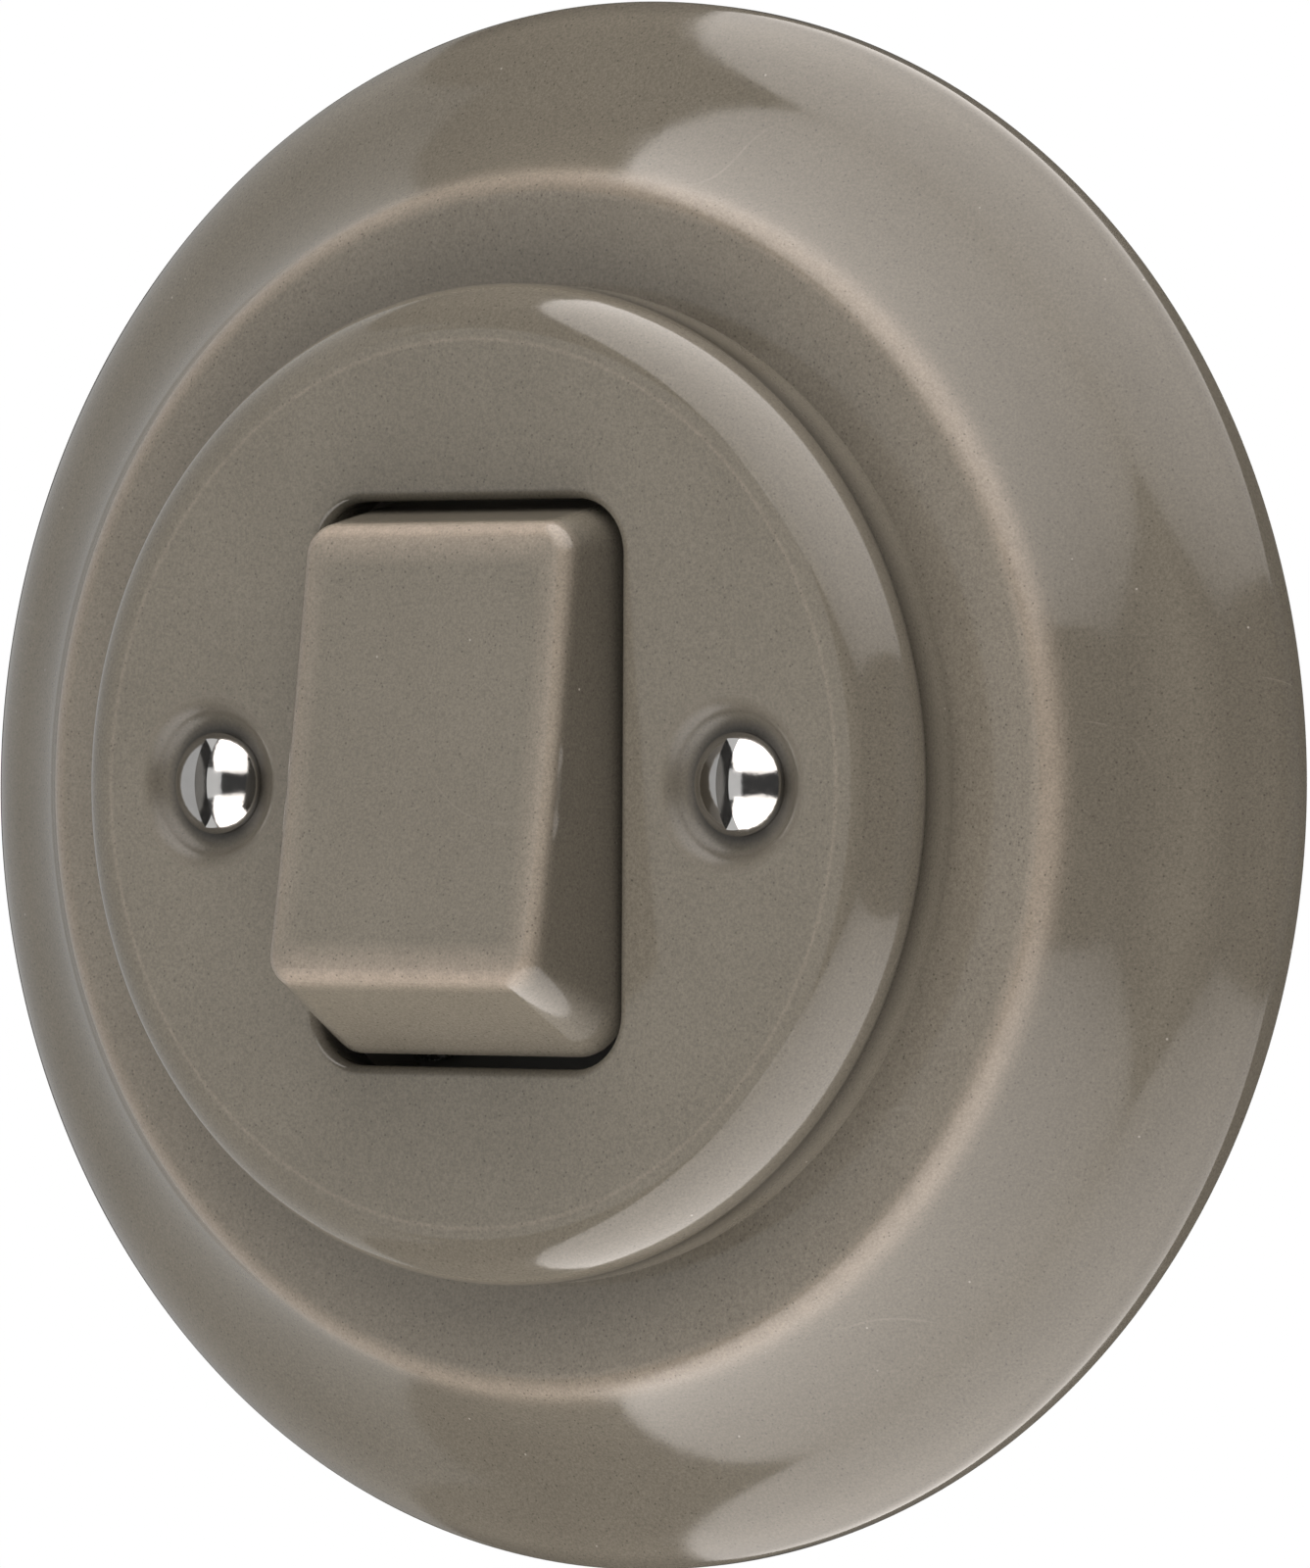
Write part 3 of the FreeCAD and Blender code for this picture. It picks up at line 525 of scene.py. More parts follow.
def add_spin(tree, profile, count, segments):
    """Nodes that spin a profile about the depth axis: each point's X is a radius and its Y a height."""
    rows = tree.math("ADD", segments, 1.0)
    grid = tree.node("GeometryNodeMeshGrid", {"Vertices X": count, "Vertices Y": rows})
    grid.inputs["Size X"].default_value = 1.0
    grid.inputs["Size Y"].default_value = 1.0
    place = tree.node("ShaderNodeSeparateXYZ", {0: tree.node("GeometryNodeInputPosition").outputs[0]})
    along = tree.math("ADD", place.outputs["X"], 0.5)
    around = tree.math("ADD", place.outputs["Y"], 0.5)
    last = tree.math("SUBTRACT", count, 1.0)
    index = tree.math("ROUND", tree.math("MULTIPLY", along, last))
    angle = tree.math("MULTIPLY", around, 2 * math.pi)
    point = tree.node("GeometryNodeSampleIndex", data_type="FLOAT_VECTOR", domain="POINT")
    tree.tree.links.new(profile, point.inputs["Geometry"])
    tree.tree.links.new(tree.node("GeometryNodeInputPosition").outputs[0], point.inputs["Value"])
    tree.tree.links.new(index, point.inputs["Index"])
    drawn = tree.node("ShaderNodeSeparateXYZ", {0: point.outputs["Value"]})
    radius, height = drawn.outputs["X"], drawn.outputs["Y"]
    x = tree.math("MULTIPLY", radius, tree.math("COSINE", angle))
    y = tree.math("MULTIPLY", height, -1.0)
    z = tree.math("MULTIPLY", radius, tree.math("SINE", angle))
    spun_place = tree.node("ShaderNodeCombineXYZ", {"X": x, "Y": y, "Z": z}).outputs[0]
    spun = tree.node("GeometryNodeSetPosition", {"Geometry": grid.outputs["Mesh"], "Position": spun_place})
    merged = tree.node("GeometryNodeMergeByDistance", {"Geometry": spun.outputs[0], "Distance": 1e-6})
    return merged.outputs[0]


def finish_with(tree, real, material):
    """Ends a tree by giving its real mesh the material named."""
    inputs = {"Geometry": real.outputs[0], "Material": tree.given(material)}
    tree.end(tree.node("GeometryNodeSetMaterial", inputs).outputs[0])


def spun_tree():
    """Tree that spins an outline into a porcelain piece."""
    tree = NodeTree("spun_porcelain")
    tree.number("Outline points", "NodeSocketInt")
    tree.number("Segments", "NodeSocketInt")
    tree.number("Glaze", "NodeSocketMaterial")
    spun = add_spin(tree, tree.given("Geometry"), tree.given("Outline points"), tree.given("Segments"))
    smooth = tree.node("GeometryNodeSetShadeSmooth", {"Geometry": spun})
    real = tree.node("GeometryNodeRealizeInstances", {"Geometry": smooth.outputs[0]})
    finish_with(tree, real, "Glaze")
    return tree


def screw_tree():
    """Tree that spins an outline into a screw, cuts its slot and sets one on each side."""
    tree = NodeTree("slotted_screws")
    tree.number("Outline points", "NodeSocketInt")
    tree.number("Segments", "NodeSocketInt")
    tree.number("Slot width")
    tree.number("Slot length")
    tree.number("Slot floor")
    tree.number("Slot height")
    tree.number("Half pitch")
    tree.number("Plating", "NodeSocketMaterial")
    screw = add_spin(tree, tree.given("Geometry"), tree.given("Outline points"), tree.given("Segments"))
    size = tree.node(
        "ShaderNodeCombineXYZ",
        {"X": tree.given("Slot width"), "Y": tree.given("Slot height"), "Z": tree.given("Slot length")},
    ).outputs[0]
    blade = tree.node("GeometryNodeMeshCube", {"Size": size})
    half_height = tree.math("MULTIPLY", tree.given("Slot height"), 0.5)
    middle = tree.math("ADD", tree.given("Slot floor"), half_height)
    blade_place = tree.node("ShaderNodeCombineXYZ", {"Y": tree.math("MULTIPLY", middle, -1.0)}).outputs[0]
    blade_inputs = {"Geometry": blade.outputs["Mesh"], "Translation": blade_place}
    placed = tree.node("GeometryNodeTransform", blade_inputs)
    cut = tree.node("GeometryNodeMeshBoolean", operation="DIFFERENCE")
    cut.solver = "EXACT"
    tree.tree.links.new(screw, cut.inputs["Mesh 1"])
    tree.tree.links.new(placed.outputs[0], cut.inputs["Mesh 2"])
    left = tree.math("MULTIPLY", tree.given("Half pitch"), -1.0)
    start = tree.node("ShaderNodeCombineXYZ", {"X": left}).outputs[0]
    end = tree.node("ShaderNodeCombineXYZ", {"X": tree.given("Half pitch")}).outputs[0]
    pair_inputs = {"Count": 2, "Start Location": start, "Offset": end}
    pair = tree.node("GeometryNodeMeshLine", pair_inputs, mode="END_POINTS")
    screw_inputs = {"Points": pair.outputs[0], "Instance": cut.outputs["Mesh"]}
    screws = tree.node("GeometryNodeInstanceOnPoints", screw_inputs)
    real = tree.node("GeometryNodeRealizeInstances", {"Geometry": screws.outputs[0]})
    finish_with(tree, real, "Plating")
    return tree


def outline_object(name, points):
    """Mesh of an outline's points, in metres: X is the radius and Y the height."""
    mesh = bpy.data.meshes.new(name)
    edges = [(i, i + 1) for i in range(len(points) - 1)]
    mesh.from_pydata([(r * MM, h * MM, 0.0) for r, h in points], edges, [])
    made = bpy.data.objects.new(name, mesh)
    bpy.context.scene.collection.objects.link(made)
    return made


def grown(carrier, tree, values):
    """Plain mesh that a tree makes from a carrier object, with its normals set outwards."""
    modifier = carrier.modifiers.new("grow", "NODES")
    modifier.node_group = tree.tree
    for name, value in values.items():
        modifier[tree.sockets[name]] = value
    depsgraph = bpy.context.evaluated_depsgraph_get()
    mesh = bpy.data.meshes.new_from_object(carrier.evaluated_get(depsgraph))
    carrier.modifiers.remove(modifier)
    face_outwards(mesh)
    carrier.data = mesh
    return carrier


def face_outwards(mesh):
    shape = bmesh.new()
    shape.from_mesh(mesh)
    bmesh.ops.remove_doubles(shape, verts=shape.verts, dist=1e-7)
    bmesh.ops.recalc_face_normals(shape, faces=shape.faces)
    shape.to_mesh(mesh)
    shape.free()


def shade_smooth(piece, sharp_angle):
    """Smooth faces with weighted normals, and sharp edges above an angle."""
    shape = bmesh.new()
    shape.from_mesh(piece.data)
    limit = math.radians(sharp_angle)
    for face in shape.faces:
        face.smooth = True
    for edge in shape.edges:
        edge.smooth = len(edge.link_faces) == 2 and edge.calc_face_angle(0.0) < limit
    shape.to_mesh(piece.data)
    shape.free()
    weighted = piece.modifiers.new("weighted", "WEIGHTED_NORMAL")
    weighted.keep_sharp = True
    depsgraph = bpy.context.evaluated_depsgraph_get()
    mesh = bpy.data.meshes.new_from_object(piece.evaluated_get(depsgraph))
    piece.modifiers.remove(weighted)
    piece.data = mesh


# Materials

class Shader:
    """A material's nodes around one Principled shader, with patterns drawn in millimetres."""

    def __init__(self, name):
        self.material = bpy.data.materials.new(name)
        self.material.use_nodes = True
        self.tree = self.material.node_tree
        self.shader = self.tree.nodes["Principled BSDF"]
        place = self.tree.nodes.new("ShaderNodeTexCoord")
        inputs = {"Vector": place.outputs["Object"], "Scale": (1 / MM,) * 3}
        self.place = self.node("ShaderNodeMapping", inputs).outputs[0]

    def node(self, kind, inputs=None, **settings):
        made = self.tree.nodes.new(kind)
        for key, value in settings.items():
            setattr(made, key, value)
        for key, value in (inputs or {}).items():
            self.put(made.inputs[key], value)
        return made

    def put(self, socket, value):
        if isinstance(value, bpy.types.NodeSocket):
            self.tree.links.new(value, socket)
        else:
            socket.default_value = value

    def set(self, **values):
        for name, value in values.items():
            self.put(self.shader.inputs[name.replace("_", " ")], value)

    def noise(self, scale, detail=2.0, roughness=0.5, place=None):
        inputs = {"Vector": place or self.place, "Scale": scale, "Detail": detail, "Roughness": roughness}
        return self.node("ShaderNodeTexNoise", inputs).outputs[0]

    def cells(self, scale, feature="F1"):
        return self.node("ShaderNodeTexVoronoi", {"Vector": self.place, "Scale": scale}, feature=feature)

    def span(self, value, low, high, to_low=0.0, to_high=1.0):
        inputs = {"Value": value, "From Min": low, "From Max": high, "To Min": to_low, "To Max": to_high}
        return self.node("ShaderNodeMapRange", inputs, clamp=True).outputs[0]

    def math(self, operation, first, second=0.0):
        return self.node("ShaderNodeMath", {0: first, 1: second}, operation=operation).outputs[0]

    def mix(self, share, first, second, blend="MIX"):
        made = self.node("ShaderNodeMix", data_type="RGBA", blend_type=blend)
        self.put(made.inputs["Factor"], share)
        self.put(made.inputs[6], first)
        self.put(made.inputs[7], second)
        return made.outputs[2]

    def bump(self, height, distance, strength=1.0, under=None):
        inputs = {"Height": height, "Distance": distance, "Strength": strength}
        made = self.node("ShaderNodeBump", inputs)
        if under is not None:
            self.tree.links.new(under, made.inputs["Normal"])
        return made.outputs[0]


def colour(red, green, blue):
    return (red, green, blue, 1.0)


def glazed_porcelain():
    """Warm grey glaze with grain, specks and hair scratches, by how thin or matt each point is, and
    darkened where shade is painted in.
    """
    glaze = Shader("glazed_porcelain")
    clouds = glaze.span(glaze.noise(0.11, 4.0), 0.35, 0.65)
    tint = glaze.mix(clouds, colour(0.118, 0.1070, 0.0860), colour(0.126, 0.1145, 0.0925))
    shade_weight = glaze.node("ShaderNodeAttribute", attribute_name="painted_shade").outputs["Fac"]
    # painted shade: darkens the glaze towards deep brown by the painted shade weight
    tint = glaze.mix(shade_weight, tint, colour(0.030, 0.027, 0.0215))
    edge = glaze.node("ShaderNodeAttribute", attribute_name="thin_glaze").outputs["Fac"]
    broken = glaze.math("MULTIPLY", edge, glaze.span(glaze.noise(0.9, 3.0), 0.25, 0.7, 0.75, 1.0))
    tint = glaze.mix(broken, tint, colour(0.280, 0.237, 0.193))
    grain = glaze.span(glaze.noise(6.0, 3.0, 0.7), 0.3, 0.7)
    mottle = glaze.mix(grain, colour(0.77, 0.77, 0.77), colour(1.23, 1.23, 1.23))
    tint = glaze.mix(1.0, tint, mottle, "MULTIPLY")
    specks = glaze.cells(2.2)
    chosen = glaze.span(specks.outputs["Color"], 0.36, 0.41)
    dark = glaze.math("MULTIPLY", glaze.span(specks.outputs["Distance"], 0.08, 0.2, 1.0, 0.0), chosen)
    tint = glaze.mix(glaze.math("MULTIPLY", dark, 0.6), tint, colour(0.030, 0.026, 0.021))
    chips = glaze.cells(0.6)
    few = glaze.span(chips.outputs["Color"], 0.7, 0.72)
    pale = glaze.math("MULTIPLY", glaze.span(chips.outputs["Distance"], 0.03, 0.06, 1.0, 0.0), few)
    tint = glaze.mix(glaze.math("MULTIPLY", pale, 0.6), tint, colour(0.32, 0.30, 0.27))
    lines = glaze.math("ABSOLUTE", glaze.math("SUBTRACT", glaze.noise(0.045, 1.0), 0.5))
    hair = glaze.span(lines, 0.0006, 0.0016, 1.0, 0.0)
    worn = glaze.span(glaze.noise(0.16, 2.0), 0.56, 0.64)
    scratch = glaze.math("MULTIPLY", hair, worn)
    tint = glaze.mix(glaze.math("MULTIPLY", scratch, 0.18), tint, colour(0.22, 0.20, 0.17))
    rough = glaze.span(glaze.noise(0.7, 3.0), 0.3, 0.7, 0.08, 0.13)
    rough = glaze.math("ADD", rough, glaze.math("MULTIPLY", edge, 0.24))
    handled = glaze.node("ShaderNodeAttribute", attribute_name="matt_glaze").outputs["Fac"]
    rough = glaze.math("ADD", rough, glaze.math("MULTIPLY", handled, 0.25))
    waves = glaze.bump(glaze.noise(0.16, 2.0), 0.00004, 0.4)
    peel = glaze.bump(glaze.noise(2.2, 2.0), 0.000004, 0.5, waves)
    glaze.set(Base_Color=tint, Roughness=rough, Normal=peel, IOR=1.45)
    return glaze.material


def bright_plating():
    """Polished plating with faint clouds and fine scuffs."""
    plating = Shader("bright_plating")
    cloud = plating.noise(0.8, 3.0)
    tint = plating.mix(cloud, colour(0.50, 0.49, 0.475), colour(0.60, 0.59, 0.575))
    rough = plating.span(plating.noise(3.0, 4.0), 0.3, 0.7, 0.08, 0.15)
    scuffs = plating.bump(plating.noise(3.0, 4.0, 0.6), 0.000012, 0.5)
    plating.set(Base_Color=tint, Metallic=1.0, Roughness=rough, Normal=scuffs)
    return plating.material


def metal(name, dark, light, rough_low, rough_high, grain_scale, stretch=(1.0, 1.0, 1.0)):
    """Metal with a drawn or rolled grain, stretched along the axes given."""
    made = Shader(name)
    drawn = made.node("ShaderNodeMapping", {"Vector": made.place, "Scale": stretch}).outputs[0]
    grain = made.noise(grain_scale, 4.0, 0.6, drawn)
    stains = made.noise(0.25, 3.0)
    tint = made.mix(stains, colour(*dark), colour(*light))
    tint = made.mix(made.span(grain, 0.3, 0.7, 0.0, 0.25), tint, colour(*dark))
    rough = made.span(grain, 0.3, 0.7, rough_low, rough_high)
    made.set(Base_Color=tint, Metallic=1.0, Roughness=rough, Normal=made.bump(grain, 0.000006, 0.5))
    return made.material


def moulding(name, dark, light, rough_low, rough_high):
    """Moulded plastic with a fine matt skin and faint flow marks."""
    made = Shader(name)
    flow = made.noise(0.12, 4.0)
    tint = made.mix(made.span(flow, 0.3, 0.7), colour(*dark), colour(*light))
    skin = made.noise(4.0, 3.0, 0.6)
    rough = made.span(skin, 0.3, 0.7, rough_low, rough_high)
    made.set(Base_Color=tint, Roughness=rough, Normal=made.bump(skin, 0.00001, 0.5), IOR=1.5)
    return made.material


# Glaze rules

def paint(piece, attribute, weight):
    """Stores a weight from 0 to 1 at each point, by a rule on its place in millimetres and its normal."""
    mesh = piece.data
    stored = mesh.attributes.get(attribute) or mesh.attributes.new(attribute, "FLOAT", "POINT")
    values = [weight(vertex.co / MM, vertex.normal) for vertex in mesh.vertices]
    stored.data.foreach_set("value", values)


def slope_shade(place, normal):
    """Painted shade on a turned slope, which grows with the slope and towards the right, where less light
    falls.
    """
    steep = math.sqrt(max(1e-9, 1.0 - normal.y ** 2))
    rightward = normal.x / steep
    return SLOPE_SHADE * (1 + rightward) * min(1.0, steep ** 2 / SLOPE_FULL)


def rosette_edges(place, normal):
    """Thin glaze along the crest."""
    radius = math.hypot(place.x, place.z)
    off_crest = math.hypot(radius - CREST_EDGE[0], -place.y - CREST_EDGE[1])
    return CREST_THINNESS * bell(off_crest, CREST_EDGE_WIDTH)


def rosette_shade(place, normal):
    """Painted shade on the slopes and a painted dark band at the rim."""
    radius = math.hypot(place.x, place.z)
    return max(slope_shade(place, normal), RIM_SHADE * bell(radius - ROSETTE_RADIUS, RIM_SHADE_WIDTH))


def disc_crease(place, normal):
    """Thin glaze on the line between the disc's face and its round-over."""
    radius = math.hypot(place.x, place.z)
    on_crease = abs(radius - DISC_RADIUS + DISC_ROUND_WIDTH) < CREASE_WIDTH / 4
    return CREASE_THINNESS if on_crease and -place.y > DISC_FACE_HEIGHT - CREASE_WIDTH else 0.0


def beside_screw(place):
    """Distance from the edge of a screw's flat seat, negative inside it."""
    return math.hypot(abs(place.x) - SCREW_X, place.z) - SCREW_HEAD_RADIUS - SEAT_CLEARANCE


def seat_handling(place, normal):
    """Matt glaze inside the dished screw seats."""
    in_seat = beside_screw(place) < SEAT_FLARE - NEAR and -place.y > SCREW_SEAT_HEIGHT - NEAR
    return 1.0 if in_seat else 0.0


def disc_shade(place, normal):
    """Painted shade on the round-over, a painted shadow line at the top of the wall and a painted shadow
    round the screw heads.
    """
    height = -place.y
    radius = math.hypot(place.x, place.z)
    wall_top = DISC_FACE_HEIGHT - DISC_ROUND_HEIGHT
    # painted shadow: darkest at the top of the wall, fading down it
    if radius > DISC_RADIUS - NEAR and height < wall_top + NEAR:
        return max(0.0, 1 - (wall_top - height) / WALL_SHADE)
    depth = slope_shade(place, normal)
    # painted shadow round the screw heads, inside the seats
    if seat_handling(place, normal):
        return min(1.0, max(depth, 1 - beside_screw(place) / SEAT_SHADE))
    # painted shade on the lower round-over
    if radius > DISC_RADIUS - DISC_ROUND_WIDTH:
        lowered = (DISC_FACE_HEIGHT - height) / DISC_ROUND_HEIGHT
        return max(depth, ROUND_SHADE * lowered ** 2)
    return depth


def key_shade(place, normal):
    """Painted shade on the key's sides."""
    return KEY_SIDE_SHADE * normal.x ** 2


# Tools that shape the disc

def turned_tool(name, outline, x):
    """Spun piece on a screw's axis, used to shape the disc."""
    tool = outline_object(name, outline)
    values = {"Outline points": len(outline), "Segments": SCREW_SEGMENTS, "Glaze": porcelain}
    grown(tool, spun_porcelain, values)
    tool.data.transform(Matrix.Translation((x * MM, 0, 0)))
    return tool


def web_tool(name, side):
    """Block that joins a screw boss to the spigot's wall, on the side given."""
    low = RING_HEIGHT - SPIGOT_DEPTH
    high = DISC_FACE_HEIGHT - DISC_FACE_THICKNESS / 2
    size = Vector((BOSS_WEB_END - SCREW_X, high - low, 2 * BOSS_RADIUS)) * MM
    centre = Vector((side * (BOSS_WEB_END + SCREW_X) / 2, -(low + high) / 2, 0)) * MM
    shape = bmesh.new()
    bmesh.ops.create_cube(shape, size=1.0)
    mesh = bpy.data.meshes.new(name)
    shape.to_mesh(mesh)
    shape.free()
    mesh.transform(Matrix.Translation(centre) @ Matrix.Diagonal((*size, 1.0)))
    made = bpy.data.objects.new(name, mesh)
    bpy.context.scene.collection.objects.link(made)
    return made


def shaped(piece, steps):
    """Joins tools to a piece or cuts them from it, in order."""
    for tool, operation in steps:
        step = piece.modifiers.new(tool.name, "BOOLEAN")
        step.object = tool
        step.operation = operation
        step.solver = "EXACT"
    depsgraph = bpy.context.evaluated_depsgraph_get()
    mesh = bpy.data.meshes.new_from_object(piece.evaluated_get(depsgraph))
    piece.modifiers.clear()
    piece.data = mesh
    for tool, operation in steps:
        bpy.data.objects.remove(tool)


porcelain = glazed_porcelain()
plating = bright_plating()
spun_porcelain = spun_tree()

# Rosette
rosette_points = rosette_outline()
rosette = outline_object("rosette_glazed", rosette_points)
grown(rosette, spun_porcelain, {
    "Outline points": len(rosette_points), "Segments": ROSETTE_SEGMENTS, "Glaze": porcelain,
})
paint(rosette, "thin_glaze", rosette_edges)
# painted shade on the rosette's slopes and a painted dark band at its rim
paint(rosette, "painted_shade", rosette_shade)

# Cover disc
cover = loop_object("cover_disc_glazed", disc_loops(), True)
disc_steps = []
sides = (("left", -1), ("right", 1))
for name, side in sides:
    disc_steps.append((web_tool("web_" + name, side), "UNION"))
    disc_steps.append((turned_tool("boss_" + name, boss_outline(), side * SCREW_X), "UNION"))
for name, side in sides:
    disc_steps.append((turned_tool("seat_" + name, seat_outline(), side * SCREW_X), "DIFFERENCE"))
shaped(cover, disc_steps)
face_outwards(cover.data)
shade_smooth(cover, DISC_SHARP_ANGLE)
paint(cover, "matt_glaze", seat_handling)
paint(cover, "thin_glaze", disc_crease)
# painted shade and painted shadow on the disc
paint(cover, "painted_shade", disc_shade)
cover.data.materials.clear()
cover.data.materials.append(porcelain)

# Rocker key
key = loop_object("rocker_key_glazed", key_loops(), False)
tilted(key.data)
shade_smooth(key, KEY_SHARP_ANGLE)
# painted shade on the key's sides
paint(key, "painted_shade", key_shade)
key.data.materials.append(porcelain)

# Cover screws
screw_points = screw_outline()
screws = outline_object("cover_screws_plated", screw_points)
slot_floor = SCREW_SEAT_HEIGHT + SCREW_HEAD_EDGE + SCREW_HEAD_DOME - SCREW_SLOT_DEPTH
grown(screws, screw_tree(), {
    "Outline points": len(screw_points), "Segments": SCREW_SEGMENTS,
    "Slot width": SCREW_SLOT_WIDTH * MM, "Slot length": 3 * SCREW_HEAD_RADIUS * MM,
    "Slot floor": slot_floor * MM, "Slot height": 2 * SCREW_SLOT_DEPTH * MM,
    "Half pitch": SCREW_X * MM, "Plating": plating,
})
shade_smooth(screws, SCREW_SHARP_ANGLE)

for piece, node, slot in (
    (rosette, "rosette", "porcelain"),
    (cover, "cover_disc", "porcelain"),
    (screws, "cover_screws", "screw_plating"),
):
    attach(piece, "switch_body")
    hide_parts(node)
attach(key, "rocker")
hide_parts("rocker_key")

# Finishes of the nodes that show as they are
zinc_sheet = metal("zinc_plated_sheet", (0.42, 0.43, 0.44), (0.58, 0.59, 0.60), 0.28, 0.45, 1.6, (1, 1, 8))
zinc_screw = metal("zinc_plated_steel", (0.45, 0.45, 0.45), (0.62, 0.62, 0.61), 0.2, 0.34, 3.0)
drawn_wire = metal("drawn_wire", (0.42, 0.42, 0.43), (0.56, 0.56, 0.57), 0.18, 0.3, 4.0)
stamped_brass = metal("stamped_brass", (0.52, 0.35, 0.13), (0.68, 0.48, 0.20), 0.22, 0.36, 2.0, (1, 1, 6))
turned_brass = metal("turned_brass", (0.55, 0.37, 0.13), (0.70, 0.50, 0.20), 0.16, 0.28, 3.0, (1, 6, 1))
contact_silver = metal("contact_silver", (0.68, 0.67, 0.64), (0.82, 0.81, 0.78), 0.14, 0.26, 4.0)
base_plastic = moulding("base_moulding", (0.31, 0.302, 0.278), (0.35, 0.341, 0.315), 0.38, 0.52)
carrier_plastic = moulding("carrier_moulding", (0.030, 0.030, 0.033), (0.042, 0.042, 0.045), 0.36, 0.5)

NODE_FINISHES = {
    "mounting_bridge": zinc_sheet,
    "bridge_rivets": zinc_screw,
    "cap_screws": zinc_screw,
    "terminal_screws": zinc_screw,
    "plunger_spring": drawn_wire,
    "contact_rocker": stamped_brass,
    "common_strip": stamped_brass,
    "upper_contact_strip": stamped_brass,
    "lower_contact_strip": stamped_brass,
    "plunger": turned_brass,
    "terminal_pillars": turned_brass,
    "threaded_posts": turned_brass,
    "moving_contact_tips": contact_silver,
    "fixed_contact_tips": contact_silver,
    "base_housing": base_plastic,
    "base_cap": base_plastic,
    "rocker_carrier": carrier_plastic,
    "key_insert": carrier_plastic,
}
for node, finish in NODE_FINISHES.items():
    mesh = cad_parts[node].data
    mesh.materials.clear()
    mesh.materials.append(finish)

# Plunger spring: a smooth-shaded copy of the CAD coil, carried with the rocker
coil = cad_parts["plunger_spring"].data.copy()
face_outwards(coil)
for face in coil.polygons:
    face.use_smooth = True
spring = bpy.data.objects.new("plunger_spring_coiled", coil)
bpy.context.scene.collection.objects.link(spring)
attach(spring, "rocker")
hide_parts("plunger_spring")
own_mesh(spring)


# Studio

def panel(name, corner, along, across, radiance, tint=(1.0, 1.0, 1.0)):
    """Rectangular soft light from its corner and two sides, lit on the side that faces the switch."""
    corner, along, across = Vector(corner), Vector(along), Vector(across)
    centre = corner + along / 2 + across / 2
    facing = along.cross(across).normalized()
    if facing.dot(centre) > 0:
        facing.negate()
    lamp = bpy.data.lights.new(name, "AREA")
    lamp.shape = "RECTANGLE"
    lamp.size = along.length
    lamp.size_y = across.length
    lamp.color = tint
    lamp.energy = radiance * math.pi * along.length * across.length
    made = bpy.data.objects.new(name, lamp)
    z_axis = -facing
    x_axis = along.normalized()
    y_axis = z_axis.cross(x_axis)
    made.matrix_world = Matrix((
        (x_axis.x, y_axis.x, z_axis.x, centre.x),
        (x_axis.y, y_axis.y, z_axis.y, centre.y),
        (x_axis.z, y_axis.z, z_axis.z, centre.z),
        (0, 0, 0, 1),
    ))
    made.visible_camera = False
    bpy.context.scene.collection.objects.link(made)
    return made


def standing_panel(name, bearing, half_width, half_height, radiance):
    """Upright soft light that faces the switch from a bearing, in degrees to the right of the front."""
    angle = math.radians(bearing)
    centre = Vector((math.sin(angle), -math.cos(angle), 0)) * FILL_DISTANCE
    along = Vector((math.cos(angle), math.sin(angle), 0)) * half_width
    up = Vector((0, 0, half_height))
    return panel(name, centre - along - up, along * 2, up * 2, radiance)


softbox_width = (SOFTBOX_RIGHT - SOFTBOX_LEFT, 0, 0)
softbox_depth = (0, SOFTBOX_BACK - SOFTBOX_FRONT, 0)
for name, level in (("softbox_above", SOFTBOX_HEIGHT), ("softbox_below", -SOFTBOX_HEIGHT)):
    corner = (SOFTBOX_LEFT, SOFTBOX_FRONT, level)
    softbox = panel(name, corner, softbox_width, softbox_depth, SOFTBOX_RADIANCE, SOFTBOX_TINT)
    softbox.data.spread = math.radians(SOFTBOX_SPREAD)
for name, bearing, half_width, half_height, radiance in FILLS:
    standing_panel(name, bearing, half_width, half_height, radiance)

world = bpy.data.worlds.new("studio")
world.use_nodes = True
background = world.node_tree.nodes["Background"]
background.inputs["Color"].default_value = colour(1.0, 1.0, 1.0)
background.inputs["Strength"].default_value = WORLD_STRENGTH
bpy.context.scene.world = world
bpy.context.scene.view_settings.view_transform = "Standard"
bpy.context.scene.view_settings.look = "None"


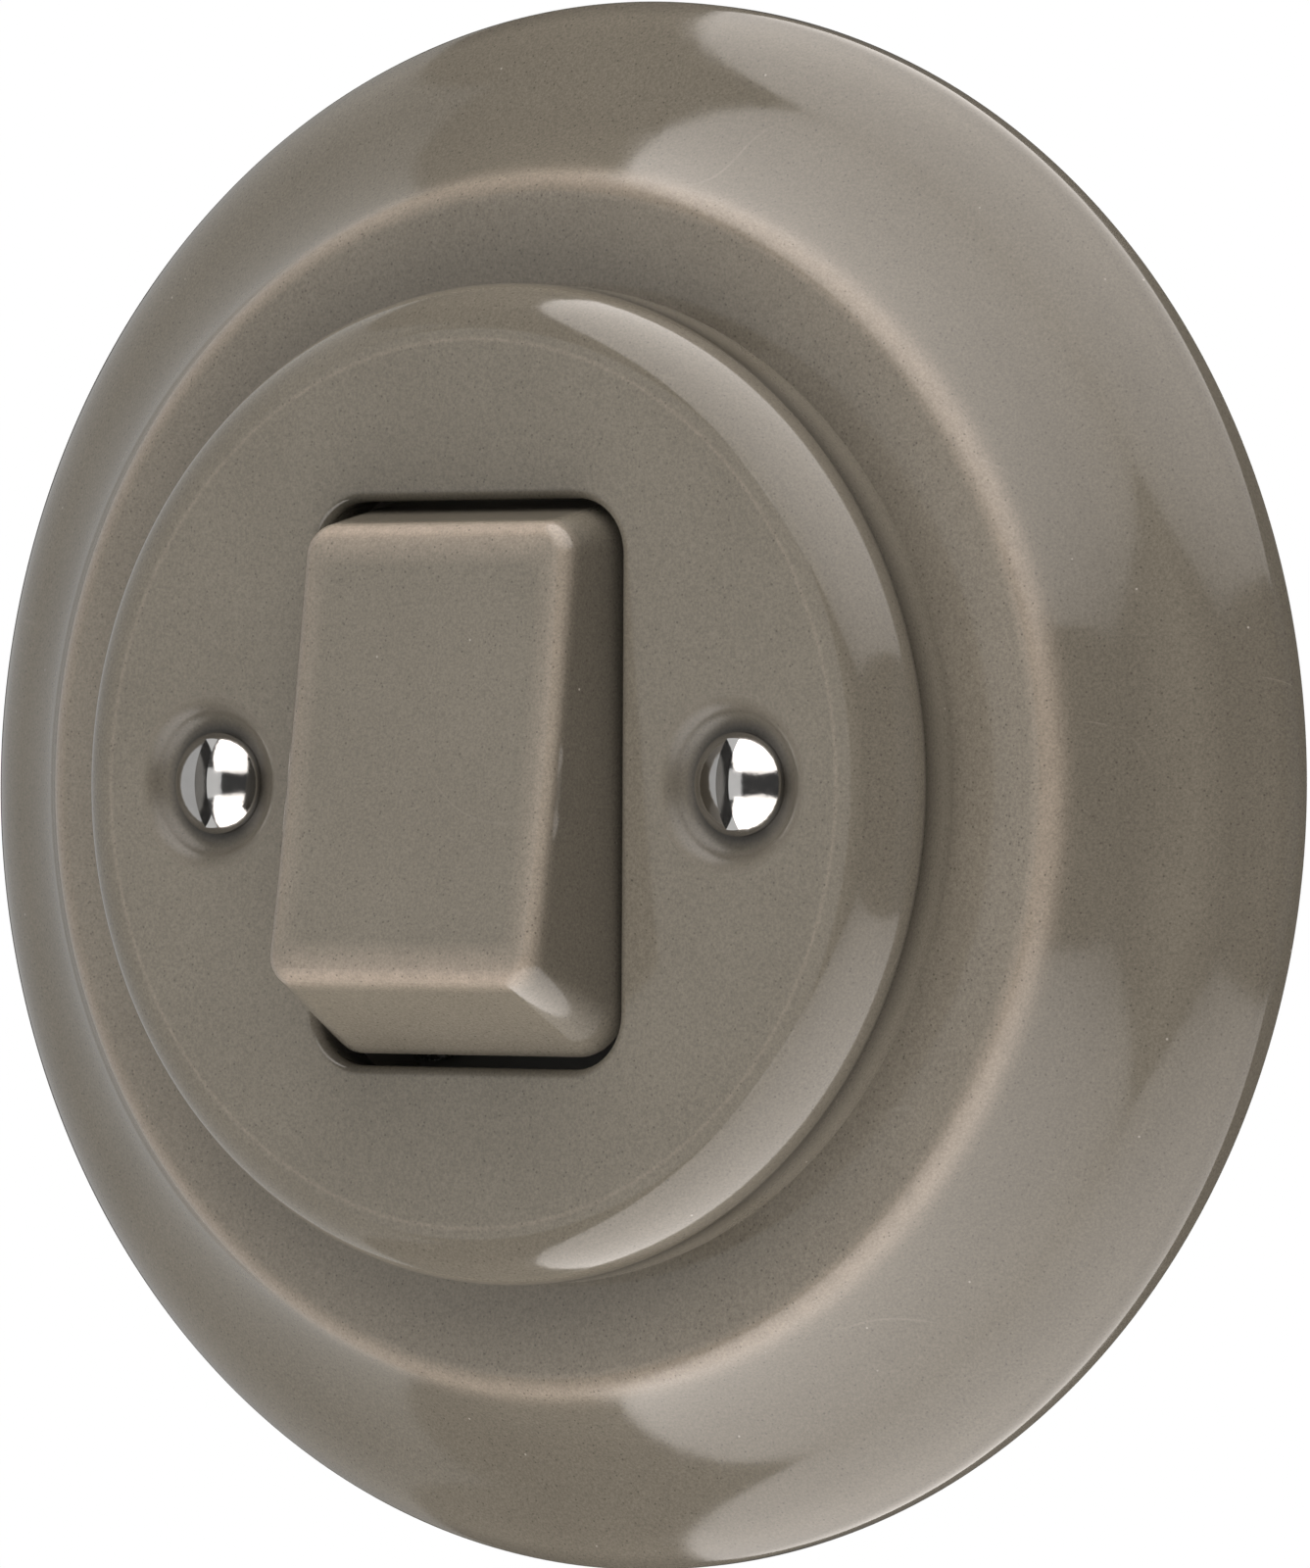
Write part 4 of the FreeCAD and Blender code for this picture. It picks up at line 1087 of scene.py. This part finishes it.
def stage_material(name, shade, glow):
    """Pale matt paper with faint fibres, lifted by its own glow."""
    paper = Shader(name)
    fibres = paper.span(paper.noise(0.4, 4.0), 0.3, 0.7, 0.0, 1.0)
    tint = paper.mix(fibres, colour(*(shade * 0.98,) * 3), colour(*(shade,) * 3))
    paper.set(Base_Color=tint, Roughness=0.9)
    paper.set(Emission_Color=colour(1.0, 1.0, 1.0), Emission_Strength=glow)
    return paper.material


def stage_piece(name, build, material):
    shape = bmesh.new()
    build(shape)
    mesh = bpy.data.meshes.new(name)
    shape.to_mesh(mesh)
    shape.free()
    mesh.materials.append(material)
    made = bpy.data.objects.new(name, mesh)
    bpy.context.scene.collection.objects.link(made)
    for ray in ("visible_diffuse", "visible_glossy", "visible_transmission", "visible_shadow"):
        setattr(made, ray, False)
    return made


floor = stage_piece(
    "floor",
    lambda shape: bmesh.ops.create_circle(shape, cap_ends=True, radius=FLOOR_RADIUS, segments=128),
    stage_material("floor_paper", 0.6, 0.0),
)
for vertex in floor.data.vertices:
    vertex.co.z = FLOOR_LEVEL
stage_piece(
    "backdrop",
    lambda shape: bmesh.ops.create_icosphere(shape, subdivisions=4, radius=BACKDROP_RADIUS),
    stage_material("backdrop_paper", 0.0, 1.0),
)

# Camera
azimuth = math.radians(CAMERA_AZIMUTH)
elevation = math.radians(CAMERA_ELEVATION)
back = Vector((
    math.sin(azimuth) * math.cos(elevation),
    -math.cos(azimuth) * math.cos(elevation),
    math.sin(elevation),
))
rightward = Vector((math.cos(azimuth), math.sin(azimuth), 0))
upward = back.cross(rightward)
lens = bpy.data.cameras.new("camera")
lens.lens = CAMERA_LENS
lens.sensor_width = CAMERA_SENSOR
lens.clip_start = 0.01
lens.clip_end = 50.0
camera = bpy.data.objects.new("camera", lens)
camera.location = back * CAMERA_DISTANCE
aim = rightward * AIM_RIGHT + upward * AIM_UP
look = (aim - camera.location).to_track_quat("-Z", "Y")
camera.rotation_mode = "QUATERNION"
camera.rotation_quaternion = look @ Quaternion((0, 0, 1), -math.radians(CAMERA_ROLL))
bpy.context.scene.collection.objects.link(camera)
bpy.context.scene.camera = camera
